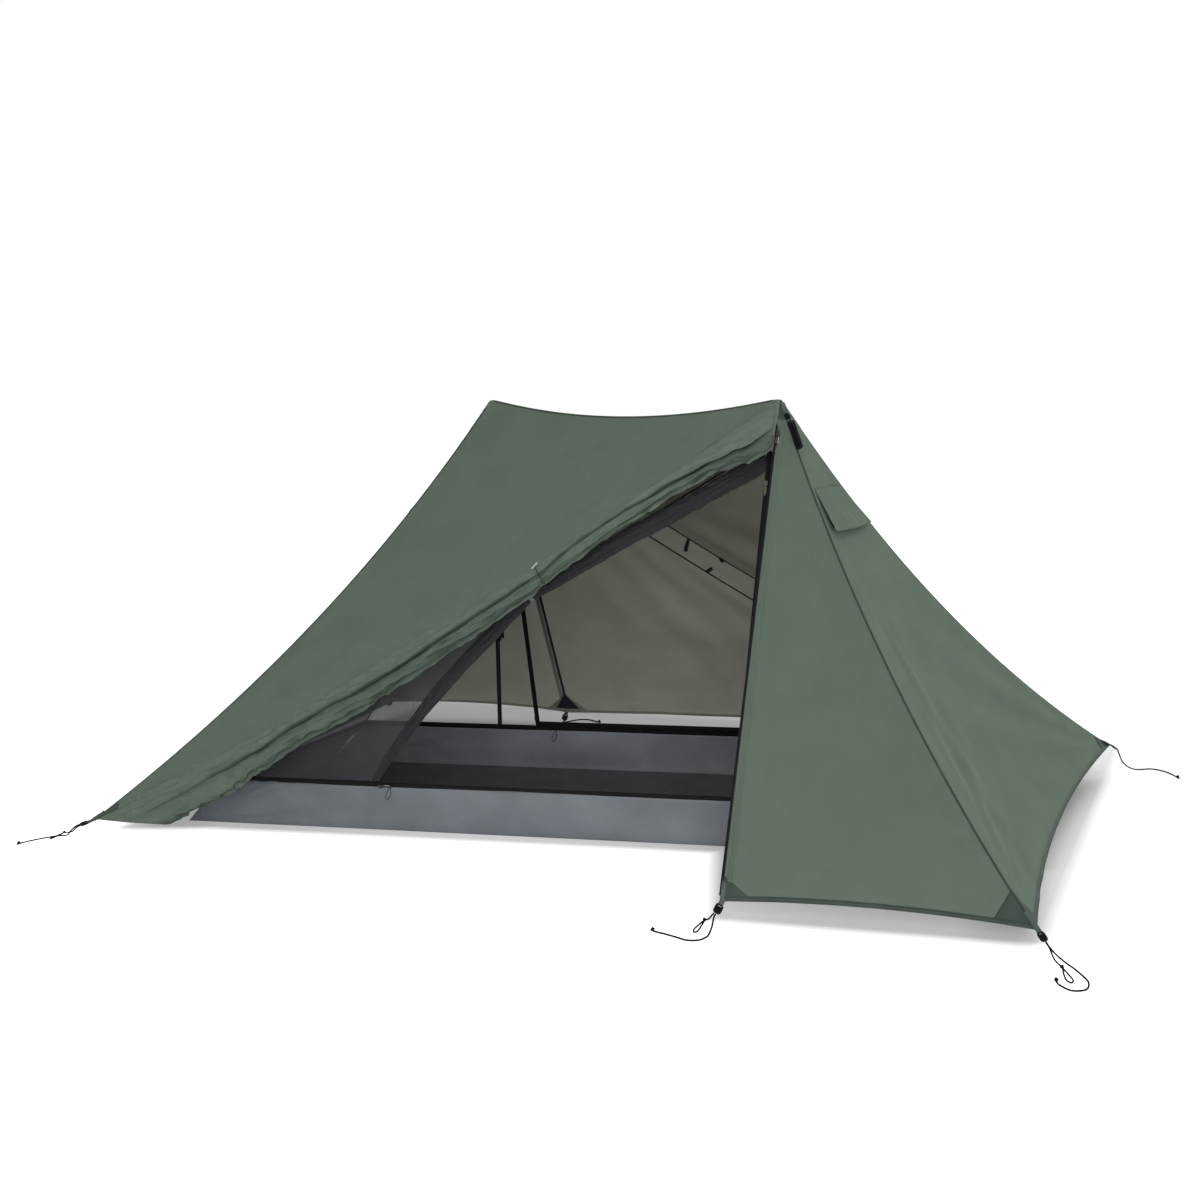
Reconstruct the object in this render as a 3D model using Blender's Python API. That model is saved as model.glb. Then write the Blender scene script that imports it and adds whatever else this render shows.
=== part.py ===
"""Two-pole ridge tent with a turned-square fly, a bathtub-floored mesh inner and two trekking poles.

The tent is symmetric under a half turn about Z, apart from its doors: the front fly door and the
front inner door are rolled up, the back ones are closed. X runs along the ridge side, Y to the back,
Z up. The origin lies on the ground, in the middle of the floor.
"""

import math

import bmesh
import bpy
import numpy as np
from mathutils import Matrix

# Fly: corner places, rises above the ground and how far each cut seam sags from its chord.
FLY_LENGTH = 2.528
FLY_WIDTH = 1.612
PEAK_HEIGHT = 1.169
PEAK_X = 0.555
PEAK_Y = 0.297
DOOR_STAKE_X = 0.595
DOOR_STAKE_Y = 0.917
FRONT_LEFT_RISE = 0.048
FRONT_RIGHT_RISE = 0.051
BACK_RIGHT_RISE = 0.083
BACK_LEFT_RISE = 0.060
FRONT_DOOR_RISE = 0.073
BACK_DOOR_RISE = 0.041
RIDGE_SAG = 0.050
ROOF_END_SAG = 0.077
WALL_END_SAG = 0.065
FRONT_DOOR_SEAM_SAG = 0.045
BACK_DOOR_SEAM_SAG = 0.085
END_HEM_SAG = 0.050
SIDE_HEM_SAG = 0.015
DOOR_HEM_SAG = 0.020
FLY_THICKNESS = 0.0012
FLY_STEPS = 8
PEAK_CUT = 0.034
STAKE_CUT = 0.006

# Every pair of sewn or seated pieces keeps this gap on each side of the line where they meet.
SEAM_GAP = 0.0003

# Inner: a parallelogram floor with raised sides, and mesh up to two points below the peaks.
FLOOR_HALF_LENGTH = 1.120
FLOOR_SIDE_OFFSET = 0.377
FLOOR_SKEW_SHARE = 0.174
WALL_HEIGHT = 0.130
WALL_LEAN = 0.120
INNER_PEAK_BACK = 0.040
INNER_PEAK_ASIDE = 0.022
INNER_PEAK_DROP = 0.119
INNER_THICKNESS = 0.0010
INNER_STEPS = 6
INNER_SEAM_SAG = 0.030
INNER_ROOF_SAG = 0.045
INNER_PEAK_CUT = 0.020
INNER_CORNER_CUT = 0.006
HANGER_WIDTH = 0.012
HANGER_THICKNESS = 0.0020
DOOR_HINGE_IN = 0.430
DOOR_ZIP_BACK = 0.090
DOOR_TIE_SHARE = 0.585
DOOR_BOW = 0.030

# Rolled doors: half widths along the roll, as shares of the two named sizes.
ROLL_HANG = 0.0026
FLY_ROLL_HALF_WIDTH = 0.036
FLY_ROLL_HALF_DEPTH = 0.025
FLY_ROLL_START = 0.060
FLY_ROLL_END = 0.030
FLY_ROLL_RINGS = 24
FLY_ROLL_SIDES = 12
FLY_ROLL_WIDTH_SHARES = (1.10, 0.92, 0.70, 0.64, 0.78, 1.02, 1.19, 1.30, 1.27, 1.36, 1.58, 1.60, 0.25)
FLY_ROLL_DEPTH_SHARES = (0.40, 0.85, 1.00, 1.00, 0.85, 1.00, 1.00, 1.00, 0.95, 0.80, 0.55, 0.30, 0.15)
INNER_ROLL_HALF_WIDTH = 0.020
INNER_ROLL_HALF_DEPTH = 0.012
INNER_ROLL_START = 0.024
INNER_ROLL_END = 0.026
INNER_ROLL_RINGS = 14
INNER_ROLL_SIDES = 10
INNER_ROLL_WIDTH_SHARES = (0.45, 0.65, 0.85, 0.98, 0.92, 0.80, 0.72, 0.85, 0.98, 1.05, 1.10, 1.15, 0.55)
INNER_ROLL_DEPTH_SHARES = (0.50, 0.90, 1.00, 1.00, 0.90, 0.80, 0.75, 0.90, 1.00, 1.00, 0.95, 0.80, 0.40)
TIE_RING = 8
INNER_TIE_RING = 7
TIE_WIDTH = 0.012
TIE_THICKNESS = 0.0012
TIE_SIDES = 16

# Peak caps: small stiffened cones over the trimmed panel corners, with a flat seat for a grip.
CAP_TOP = 0.007
CAP_SEAT_RADIUS = 0.008
CAP_SEAT_SIDES = 8

# End vents: a hood of fly cloth hinged on its upper edge, held up by a short folding prop.
HOOD_TOP_DISTANCE = 0.240
HOOD_LIP_DISTANCE = 0.360
HOOD_SIDE_SHARE = 0.20
HOOD_RISE = 0.018
HOOD_GAP = 0.0008
HOOD_THICKNESS = 0.0010
HOOD_ROWS = 3
HOOD_COLUMNS = 6
PROP_WIDTH = 0.012
PROP_THICKNESS = 0.0010
PROP_INSET = 0.008
PROP_SLANT_DEGREES = 55
PROP_CLEARANCE = 0.0006

# Zip sliders with their pulls. Each rides on the edge of its panel.
SLIDER_LENGTH = 0.012
SLIDER_WIDTH = 0.009
SLIDER_THICKNESS = 0.0040
SLIDER_LIFT = 0.0007
PULL_LENGTH = 0.022
PULL_WIDTH = 0.0050
PULL_NECK_WIDTH = 0.0025
PULL_NECK_LENGTH = 0.0040
FLY_SLIDER_TOP = 0.100
FLY_SLIDER_BOTTOM = 0.060
INNER_SLIDER_TOP = 0.095
INNER_SLIDER_BOTTOM = 0.030
SILL_SLIDER_END = 0.030

# Trekking poles: grip, upper tube with a lever lock, lower tube with ferrule and basket.
POLE_FOOT_X = 0.578
POLE_FOOT_Y = 0.335
POLE_SIDES = 16
GRIP_LENGTH = 0.120
GRIP_RADIUS = 0.0145
GRIP_SHOULDER_SHARE = 0.78
GRIP_WAIST_RADIUS = 0.0128
GRIP_TOP_RADIUS = 0.0060
GRIP_BORE_DEPTH = 0.070
GRIP_TOP_GAP = 0.0005
UPPER_RADIUS = 0.0090
UPPER_BORE_RADIUS = 0.0073
POLE_CLEARANCE = 0.0004
LOCK_HEIGHT = 0.420
LOCK_LENGTH = 0.034
LOCK_RADIUS = 0.0125
LEVER_LENGTH = 0.026
LEVER_REACH_SHARE = 0.55
LEVER_THICKNESS = 0.0040
LEVER_HEIGHT = 0.026
LOWER_RADIUS = 0.0070
LOWER_INSERT = 0.150
TIP_RADIUS = 0.0025
TIP_LENGTH = 0.012
FERRULE_RADIUS = 0.0062
BASKET_HEIGHT = 0.052
BASKET_RADIUS = 0.024
BASKET_THICKNESS = 0.0030
BASKET_HUB_RADIUS = 0.0095
BASKET_HUB_LENGTH = 0.012

# Stake-point adjusters: a webbing strap that lies on the seam, with a flat cord lock beyond the corner.
STRAP_WIDTH = 0.012
STRAP_ON_FLY = 0.045
STRAP_BEYOND = 0.006
LOCK_BODY_LENGTH = 0.024
LOCK_BODY_WIDTH = 0.020
STRAP_THICKNESS = 0.0035
DOOR_STRAP_INSET = 0.011
STRAP_LIFT = 0.0011

# Cords: loose guylines on the ground at the stake points, and a wound hank at each peak.
CORD_RADIUS = 0.0015
CORD_SPACING = 0.0085
CORD_START_GAP = 0.0006
HANK_CORD_RADIUS = 0.0012
HANK_RADIUS = 0.0085
HANK_TURNS = 10
HANK_TURN_POINTS = 14
HANK_LENGTH = 0.078
HANK_START = 0.066
HANK_LEAD_START = 0.041
HANK_CLEARANCE = 0.0006

UP = np.array((0.0, 0.0, 1.0))
DOWN = -UP


def unit(vector):
    return np.asarray(vector, float) / np.linalg.norm(vector)


def turned(point):
    """The place that a half turn about Z takes a point to."""
    return np.array((-point[0], -point[1], point[2]))


def linear(channel):
    """One sRGB channel, 0 to 255, as Blender's linear value."""
    value = channel / 255
    if value <= 0.04045:
        return value / 12.92
    return ((value + 0.055) / 1.055) ** 2.4


def material(name, colour, roughness, metallic=0.0):
    """A Principled material in one colour, made once and shared by its pieces."""
    found = bpy.data.materials.get(name)
    if found:
        return found
    made = bpy.data.materials.new(name)
    made.use_nodes = True
    shader = made.node_tree.nodes["Principled BSDF"]
    shader.inputs["Base Color"].default_value = (*[linear(channel) for channel in colour], 1.0)
    shader.inputs["Roughness"].default_value = roughness
    shader.inputs["Metallic"].default_value = metallic
    made.diffuse_color = (*[linear(channel) for channel in colour], 1.0)
    return made


def fly_cloth():
    return material("fly_cloth", (104, 113, 101), 0.55)


def mesh_cloth():
    return material("mesh_cloth", (44, 44, 50), 0.80)


def floor_cloth():
    return material("floor_cloth", (100, 104, 110), 0.60)


def black_plastic():
    return material("black_plastic", (22, 23, 24), 0.45)


def cord_black():
    return material("cord_black", (20, 21, 21), 0.75)


def webbing():
    return material("webbing", (96, 104, 100), 0.70)


def pole_metal():
    return material("pole_metal", (40, 41, 44), 0.35, 0.85)


def grip_foam():
    return material("grip_foam", (34, 34, 35), 0.85)


def add_object(name, vertices, faces, surface, origin=(0.0, 0.0, 0.0), smooth=False):
    """A named object whose mesh is given in world places and kept about its own origin."""
    start = np.asarray(origin, float)
    mesh = bpy.data.meshes.new(name)
    mesh.from_pydata([tuple(np.asarray(vertex, float) - start) for vertex in vertices], [], faces)
    mesh.update()
    work = bmesh.new()
    work.from_mesh(mesh)
    bmesh.ops.triangulate(work, faces=work.faces[:])
    bmesh.ops.recalc_face_normals(work, faces=work.faces[:])
    work.to_mesh(mesh)
    work.free()
    if smooth:
        mesh.shade_smooth()
        mesh.set_sharp_from_angle(angle=math.radians(40))
    mesh.materials.append(surface)
    made = bpy.data.objects.new(name, mesh)
    made.location = start
    bpy.context.scene.collection.objects.link(made)
    return made


class Seam:
    """A sewn line: its chord plus a parabola of the given sag, square to the chord."""

    def __init__(self, start, end, sag=0.0, hint=DOWN):
        self.start = np.asarray(start, float)
        self.end = np.asarray(end, float)
        chord = unit(self.end - self.start)
        side = np.asarray(hint, float)
        side = side - side.dot(chord) * chord
        self.droop = sag * unit(side)
        self.length = np.linalg.norm(self.end - self.start)

    def at(self, share):
        return self.start + (self.end - self.start) * share + 4 * share * (1 - share) * self.droop

    def bend(self, share):
        return 4 * share * (1 - share) * self.droop

    def along(self, share):
        """The unit tangent, from start to end."""
        return unit(self.end - self.start + 4 * (1 - 2 * share) * self.droop)

    def at_distance(self, distance):
        return self.at(distance / self.length)


class Cloth:
    """Three-sided panels on shared corners and seams, each a thin closed shell."""

    def __init__(self, corners, panels, seams, cuts, thickness, steps, middle, joined=()):
        self.corners = corners
        self.panels = panels
        self.joined = dict(joined)
        self.cuts = cuts
        self.thickness = thickness
        self.steps = steps
        self.middle = np.asarray(middle, float)
        self.seams = {}
        for (first, last), (sag, hint) in seams.items():
            self.seams[(first, last)] = Seam(corners[first], corners[last], sag, hint)
            self.seams[(last, first)] = Seam(corners[last], corners[first], sag, hint)

    def ordered(self, name):
        """The panel's corners, turned so that its flat normal points away from the tent's middle."""
        labels = self.panels[name]
        first, second, third = [self.corners[label] for label in labels]
        normal = np.cross(second - first, third - first)
        if normal.dot((first + second + third) / 3 - self.middle) < 0:
            labels = (labels[0], labels[2], labels[1])
        return labels

    def normal(self, name):
        first, second, third = [self.corners[label] for label in self.ordered(name)]
        return unit(np.cross(second - first, third - first))

    def seam(self, first, last):
        if (first, last) not in self.seams:
            self.seams[(first, last)] = Seam(self.corners[first], self.corners[last])
        return self.seams[(first, last)]

    def neighbour(self, name, first, last):
        """The normal of the panel across a seam: one that shares it, or is named as lying on it."""
        if (name, first, last) in self.joined:
            return self.normal(self.joined[(name, first, last)])
        if (name, last, first) in self.joined:
            return self.normal(self.joined[(name, last, first)])
        for other, labels in self.panels.items():
            if other != name and first in labels and last in labels:
                return self.normal(other)
        return None

    def surface(self, labels, weights):
        """The flat place plus each seam's bend, carried in by the square of its nearness."""
        point = sum(weight * self.corners[label] for weight, label in zip(weights, labels))
        for first in range(3):
            last = (first + 1) % 3
            near = weights[first] + weights[last]
            if near > 0:
                share = weights[last] / near
                point = point + near ** 2 * self.seam(labels[first], labels[last]).bend(share)
        return point

    def facet(self, name, weights):
        """The place on the panel's own flat facets, between the grid points that it is made of."""
        labels = self.ordered(name)
        steps = self.steps
        across = weights[0] * steps
        over = weights[1] * steps
        row = min(int(across), steps - 1)
        column = min(int(over), steps - 1 - row)
        part_row = across - row
        part_column = over - column

        def grid(first, second):
            return self.surface(labels, (first / steps, second / steps, (steps - first - second) / steps))

        if part_row + part_column <= 1:
            base = grid(row, column)
            return (base + part_row * (grid(row + 1, column) - base)
                    + part_column * (grid(row, column + 1) - base))
        base = grid(row + 1, column + 1)
        return (base + (1 - part_row) * (grid(row, column + 1) - base)
                + (1 - part_column) * (grid(row + 1, column) - base))

    def mitre(self, name, first, last):
        """The way from the outer face to the inner one on a seam: shared by both of its panels."""
        own = self.normal(name)
        other = self.neighbour(name, first, last)
        if other is None:
            return -self.thickness * own
        return -self.thickness * (own + other) / (1 + own.dot(other))

    def inward(self, name, first, last):
        """Square to the seam's chord, in the flat panel, towards its middle."""
        labels = self.ordered(name)
        normal = self.normal(name)
        chord = unit(self.corners[last] - self.corners[first])
        side = np.cross(normal, chord)
        middle = sum(self.corners[label] for label in labels) / 3
        if side.dot(middle - self.corners[first]) < 0:
            side = -side
        return side

    def build(self, name, surface):
        labels = self.ordered(name)
        steps = self.steps
        normal = self.normal(name)
        outer = []
        inner = []
        index = {}

        def add(key, point, offset):
            index[key] = len(outer)
            outer.append(point)
            inner.append(point + offset)

        for row in range(1, steps - 1):
            for column in range(1, steps - row):
                weights = (row / steps, column / steps, (steps - row - column) / steps)
                add((row, column), self.surface(labels, weights), -self.thickness * normal)

        def edge_key(first, count):
            """The grid place that lies count steps from corner first towards the next corner."""
            weights = [0, 0, 0]
            weights[first] = steps - count
            weights[(first + 1) % 3] = count
            return weights[0], weights[1]

        loop = []
        for first in range(3):
            last = (first + 1) % 3
            line = self.seam(labels[first], labels[last])
            offset = self.mitre(name, labels[first], labels[last])
            pull = SEAM_GAP * self.inward(name, labels[first], labels[last])
            start = self.cuts[labels[first]] / line.length
            add(("leave", first), line.at(start) + pull, offset)
            loop.append(("leave", first))
            for count in range(1, steps):
                key = edge_key(first, count)
                add(key, line.at(count / steps) + pull, offset)
                loop.append(key)
            add(("reach", last), line.at(1 - self.cuts[labels[last]] / line.length) + pull, offset)
            loop.append(("reach", last))

        corner_keys = {(steps, 0): 0, (0, steps): 1, (0, 0): 2}
        faces = []
        for row in range(steps):
            for column in range(steps - row):
                up = [(row + 1, column), (row, column + 1), (row, column)]
                corner = [key for key in up if key in corner_keys]
                if corner:
                    place = corner_keys[corner[0]]
                    spot = up.index(corner[0])
                    turn = up[spot + 1:] + up[:spot]
                    faces.append([("leave", place), turn[0], turn[1], ("reach", place)])
                else:
                    faces.append(up)
                if row + column < steps - 1:
                    faces.append([(row + 1, column), (row + 1, column + 1), (row, column + 1)])

        count = len(outer)
        triangles = []
        for face in faces:
            numbers = [index[key] for key in face]
            for middle in range(1, len(numbers) - 1):
                triangle = (numbers[0], numbers[middle], numbers[middle + 1])
                triangles.append(triangle)
                triangles.append(tuple(number + count for number in reversed(triangle)))
        for place, key in enumerate(loop):
            this = index[key]
            following = index[loop[(place + 1) % len(loop)]]
            triangles.append((following, this, this + count))
            triangles.append((following, this + count, following + count))
        return add_object(name, outer + inner, triangles, surface, smooth=True)


def slab(name, corners, neighbours, thickness, surface):
    """A flat four-sided sheet, mitred to the sheets whose normals are given for its four edges."""
    points = [np.asarray(corner, float) for corner in corners]
    normal = unit(np.cross(points[1] - points[0], points[3] - points[0]))
    middle = sum(points) / 4
    outer = []
    inner = []
    for place, point in enumerate(points):
        rows = [normal]
        offsets = [-thickness]
        pulls = [0.0]
        ways = [normal]
        for edge in (place - 1, place):
            start = points[edge % 4]
            side = np.cross(normal, unit(points[(edge + 1) % 4] - start))
            if side.dot(middle - start) < 0:
                side = -side
            other = neighbours[edge % 4]
            rows.append(side if other is None else other)
            offsets.append(0.0 if other is None else -thickness)
            ways.append(side)
            pulls.append(SEAM_GAP)
        spot = point + np.linalg.solve(np.array(ways), np.array(pulls))
        outer.append(spot)
        inner.append(spot + np.linalg.solve(np.array(rows), np.array(offsets)))
    faces = [(0, 1, 2, 3), (7, 6, 5, 4)]
    faces += [(edge, edge + 4, (edge + 1) % 4 + 4, (edge + 1) % 4) for edge in range(4)]
    return add_object(name, outer + inner, faces, surface)


def prism(name, outline, centre, along, across, normal, thickness, surface, origin=None):
    """A flat outline, in along and across steps from centre, given thickness on its normal side."""
    lower = [centre + along * point[0] + across * point[1] for point in outline]
    upper = [point + normal * thickness for point in lower]
    count = len(outline)
    faces = [tuple(range(count)), tuple(range(2 * count - 1, count - 1, -1))]
    for spot in range(count):
        following = (spot + 1) % count
        faces.append((spot, spot + count, following + count, following))
    return add_object(name, lower + upper, faces, surface, centre if origin is None else origin)


def shares_at(shares, place):
    """A smooth value between evenly spaced shares, by the cosine between neighbours."""
    spot = min(max(place, 0.0), 1.0) * (len(shares) - 1)
    low = min(int(spot), len(shares) - 2)
    part = (1 - math.cos(math.pi * (spot - low))) / 2
    return shares[low] * (1 - part) + shares[low + 1] * part


def swept(name, path, wide, deep, widths, depths, sides, surface):
    """Elliptic rings along a path, closed at both ends: wide and deep give each ring's two axes."""
    vertices = []
    faces = []
    for centre, way, square, half_width, half_depth in zip(path, wide, deep, widths, depths):
        for side in range(sides):
            angle = 2 * math.pi * side / sides
            across = way * half_width * math.cos(angle)
            vertices.append(centre + across + square * half_depth * math.sin(angle))
    for ring in range(len(path) - 1):
        for side in range(sides):
            following = (side + 1) % sides
            base = ring * sides
            faces.append((base + side, base + following, base + sides + following, base + sides + side))
    faces.append(tuple(range(sides - 1, -1, -1)))
    faces.append(tuple(range((len(path) - 1) * sides, len(path) * sides)))
    return add_object(name, vertices, faces, surface, smooth=True)


def lathe(name, profile, foot, axis, surface, origin):
    """A closed profile of radius and height, turned about an axis that starts at foot."""
    side = unit(np.cross(axis, (0.0, 1.0, 0.0)))
    square = np.cross(axis, side)
    vertices = []
    faces = []
    rings = []
    for radius, height in profile:
        if radius == 0:
            rings.append([len(vertices)])
            vertices.append(foot + axis * height)
            continue
        rings.append(list(range(len(vertices), len(vertices) + POLE_SIDES)))
        for step in range(POLE_SIDES):
            angle = 2 * math.pi * step / POLE_SIDES
            around = side * math.cos(angle) + square * math.sin(angle)
            vertices.append(foot + axis * height + around * radius)
    pairs = list(zip(rings, rings[1:]))
    if len(rings[0]) > 1:
        pairs.append((rings[-1], rings[0]))
    for low, high in pairs:
        for step in range(POLE_SIDES):
            following = (step + 1) % POLE_SIDES
            if len(low) == 1:
                faces.append((low[0], high[following], high[step]))
            elif len(high) == 1:
                faces.append((low[step], low[following], high[0]))
            else:
                faces.append((low[step], low[following], high[following], high[step]))
    return add_object(name, vertices, faces, surface, origin, smooth=True)


def smooth_route(points, spacing):
    """Points a spacing apart on a centripetal curve through the route's own points."""
    given = [np.asarray(point, float) for point in points]
    ends = [2 * given[0] - given[1]] + given + [2 * given[-1] - given[-2]]
    fine = []
    for spot in range(1, len(ends) - 2):
        before, start, end, after = ends[spot - 1:spot + 3]
        knots = [0.0]
        for first, last in ((before, start), (start, end), (end, after)):
            knots.append(knots[-1] + math.sqrt(np.linalg.norm(last - first)))
        for step in range(24):
            t = knots[1] + (knots[2] - knots[1]) * step / 24
            one = ((knots[1] - t) * before + (t - knots[0]) * start) / (knots[1] - knots[0])
            two = ((knots[2] - t) * start + (t - knots[1]) * end) / (knots[2] - knots[1])
            three = ((knots[3] - t) * end + (t - knots[2]) * after) / (knots[3] - knots[2])
            low = ((knots[2] - t) * one + (t - knots[0]) * two) / (knots[2] - knots[0])
            high = ((knots[3] - t) * two + (t - knots[1]) * three) / (knots[3] - knots[1])
            fine.append(((knots[2] - t) * low + (t - knots[1]) * high) / (knots[2] - knots[1]))
    fine.append(given[-1])
    lengths = np.concatenate([[0.0], np.cumsum([np.linalg.norm(b - a) for a, b in zip(fine, fine[1:])])])
    count = max(2, int(round(lengths[-1] / spacing)))
    wanted = np.linspace(0, lengths[-1], count + 1)
    table = np.array(fine)
    return np.stack([np.interp(wanted, lengths, table[:, axis]) for axis in range(3)], axis=1)


def tube(name, points, radius, resolution, surface):
    """A round cord along the points, as a bevelled poly curve with filled ends."""
    curve = bpy.data.curves.new(name, "CURVE")
    curve.dimensions = "3D"
    curve.bevel_depth = radius
    curve.bevel_resolution = resolution
    curve.use_fill_caps = True
    spline = curve.splines.new("POLY")
    spline.points.add(len(points) - 1)
    for point, place in zip(spline.points, points):
        point.co = (*place, 1.0)
    curve.materials.append(surface)
    made = bpy.data.objects.new(name, curve)
    bpy.context.scene.collection.objects.link(made)
    return made


def self_gap(points, radius, turn_points):
    """The least clear distance of a tube to itself, leaving out the nearest half turn."""
    table = np.asarray(points, float)
    distance = np.linalg.norm(table[:, None, :] - table[None, :, :], axis=2)
    rank = np.arange(len(table))
    apart = np.abs(rank[:, None] - rank[None, :]) > turn_points // 2
    return float(distance[apart].min() - 2 * radius)


def fly_corners():
    half_length = FLY_LENGTH / 2
    half_width = FLY_WIDTH / 2
    return {
        "front_left": np.array((-half_length, -half_width, FRONT_LEFT_RISE)),
        "front_right": np.array((half_length, -half_width, FRONT_RIGHT_RISE)),
        "back_right": np.array((half_length, half_width, BACK_RIGHT_RISE)),
        "back_left": np.array((-half_length, half_width, BACK_LEFT_RISE)),
        "peak_right": np.array((PEAK_X, -PEAK_Y, PEAK_HEIGHT)),
        "peak_left": np.array((-PEAK_X, PEAK_Y, PEAK_HEIGHT)),
        "door_front": np.array((DOOR_STAKE_X, -DOOR_STAKE_Y, FRONT_DOOR_RISE)),
        "door_back": np.array((-DOOR_STAKE_X, DOOR_STAKE_Y, BACK_DOOR_RISE)),
    }


def make_fly():
    """Seven sewn panels; the eighth, the front door, is rolled up along its seam."""
    toward = np.array((1.0, 0.0, 0.0))
    seams = {
        ("peak_right", "peak_left"): (RIDGE_SAG, DOWN),
        ("front_left", "peak_left"): (ROOF_END_SAG, DOWN),
        ("back_right", "peak_right"): (ROOF_END_SAG, DOWN),
        ("front_right", "peak_right"): (WALL_END_SAG, DOWN),
        ("back_left", "peak_left"): (WALL_END_SAG, DOWN),
        ("front_left", "peak_right"): (FRONT_DOOR_SEAM_SAG, DOWN),
        ("back_right", "peak_left"): (BACK_DOOR_SEAM_SAG, DOWN),
        ("front_right", "back_right"): (END_HEM_SAG, -toward),
        ("front_left", "back_left"): (END_HEM_SAG, toward),
        ("front_right", "door_front"): (SIDE_HEM_SAG, UP),
        ("back_left", "door_back"): (SIDE_HEM_SAG, UP),
        ("back_right", "door_back"): (DOOR_HEM_SAG, UP),
    }
    panels = {
        "fly_roof_front": ("front_left", "peak_right", "peak_left"),
        "fly_roof_back": ("back_right", "peak_left", "peak_right"),
        "fly_end_right": ("front_right", "back_right", "peak_right"),
        "fly_end_left": ("back_left", "front_left", "peak_left"),
        "fly_front_panel": ("door_front", "front_right", "peak_right"),
        "fly_back_panel": ("door_back", "back_left", "peak_left"),
        "fly_back_door": ("back_right", "door_back", "peak_left"),
    }
    cuts = {label: STAKE_CUT for label in fly_corners()}
    cuts["peak_right"] = PEAK_CUT
    cuts["peak_left"] = PEAK_CUT
    middle = (0.0, 0.0, PEAK_HEIGHT / 4)
    fly = Cloth(fly_corners(), panels, seams, cuts, FLY_THICKNESS, FLY_STEPS, middle)
    for name in panels:
        fly.build(name, fly_cloth())
    return fly


def hull(name, points, surface):
    """The convex solid round the points."""
    work = bmesh.new()
    for point in points:
        work.verts.new(tuple(point))
    result = bmesh.ops.convex_hull(work, input=work.verts[:])
    spare = [item for item in result["geom_interior"] if isinstance(item, bmesh.types.BMVert)]
    bmesh.ops.delete(work, geom=spare, context="VERTS")
    work.verts.index_update()
    vertices = [tuple(vertex.co) for vertex in work.verts]
    faces = [tuple(vertex.index for vertex in face.verts) for face in work.faces]
    work.free()
    add_object(name, vertices, faces, surface)


def make_peak_cap(fly, name, peak, ends):
    """The convex cone over a peak's trimmed panel corners, flat below where the grip stands."""
    top = fly.corners[peak]
    points = []
    rims = []
    for end in ends:
        line = fly.seam(peak, end)
        rim = line.at_distance(PEAK_CUT - 2 * SEAM_GAP)
        rims.append(rim)
        points.append(rim)
        points.append(line.at_distance(CAP_TOP))
    seat = min(rim[2] for rim in rims)
    for side in range(CAP_SEAT_SIDES):
        angle = 2 * math.pi * side / CAP_SEAT_SIDES
        ring = np.array((math.cos(angle), math.sin(angle), 0.0)) * CAP_SEAT_RADIUS
        points.append(np.array((top[0], top[1], seat)) + ring)
    hull(name, points, webbing())
    return seat


def make_hanger(fly, inner, name, ridge_start, ridge_end, peak, ends):
    """A tab that gathers the inner's top corners and tapers up to the underside of the fly's ridge."""
    points = [inner.seam(peak, end).at_distance(INNER_PEAK_CUT - 2 * SEAM_GAP) for end in ends]
    ridge = fly.seam(ridge_start, ridge_end)
    reach = inner.corners[peak] - fly.corners[ridge_start]
    distance = math.hypot(reach[0], reach[1])
    top = ridge.at_distance(distance) - UP * (2 * FLY_THICKNESS + SEAM_GAP)
    along = ridge.along(distance / ridge.length)
    across = unit(np.cross(along, UP))
    for over in (-0.5, 0.5):
        for aside in (-0.5, 0.5):
            points.append(top + along * HANGER_WIDTH * over + across * HANGER_THICKNESS * aside)
    hull(name, points, webbing())


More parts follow.
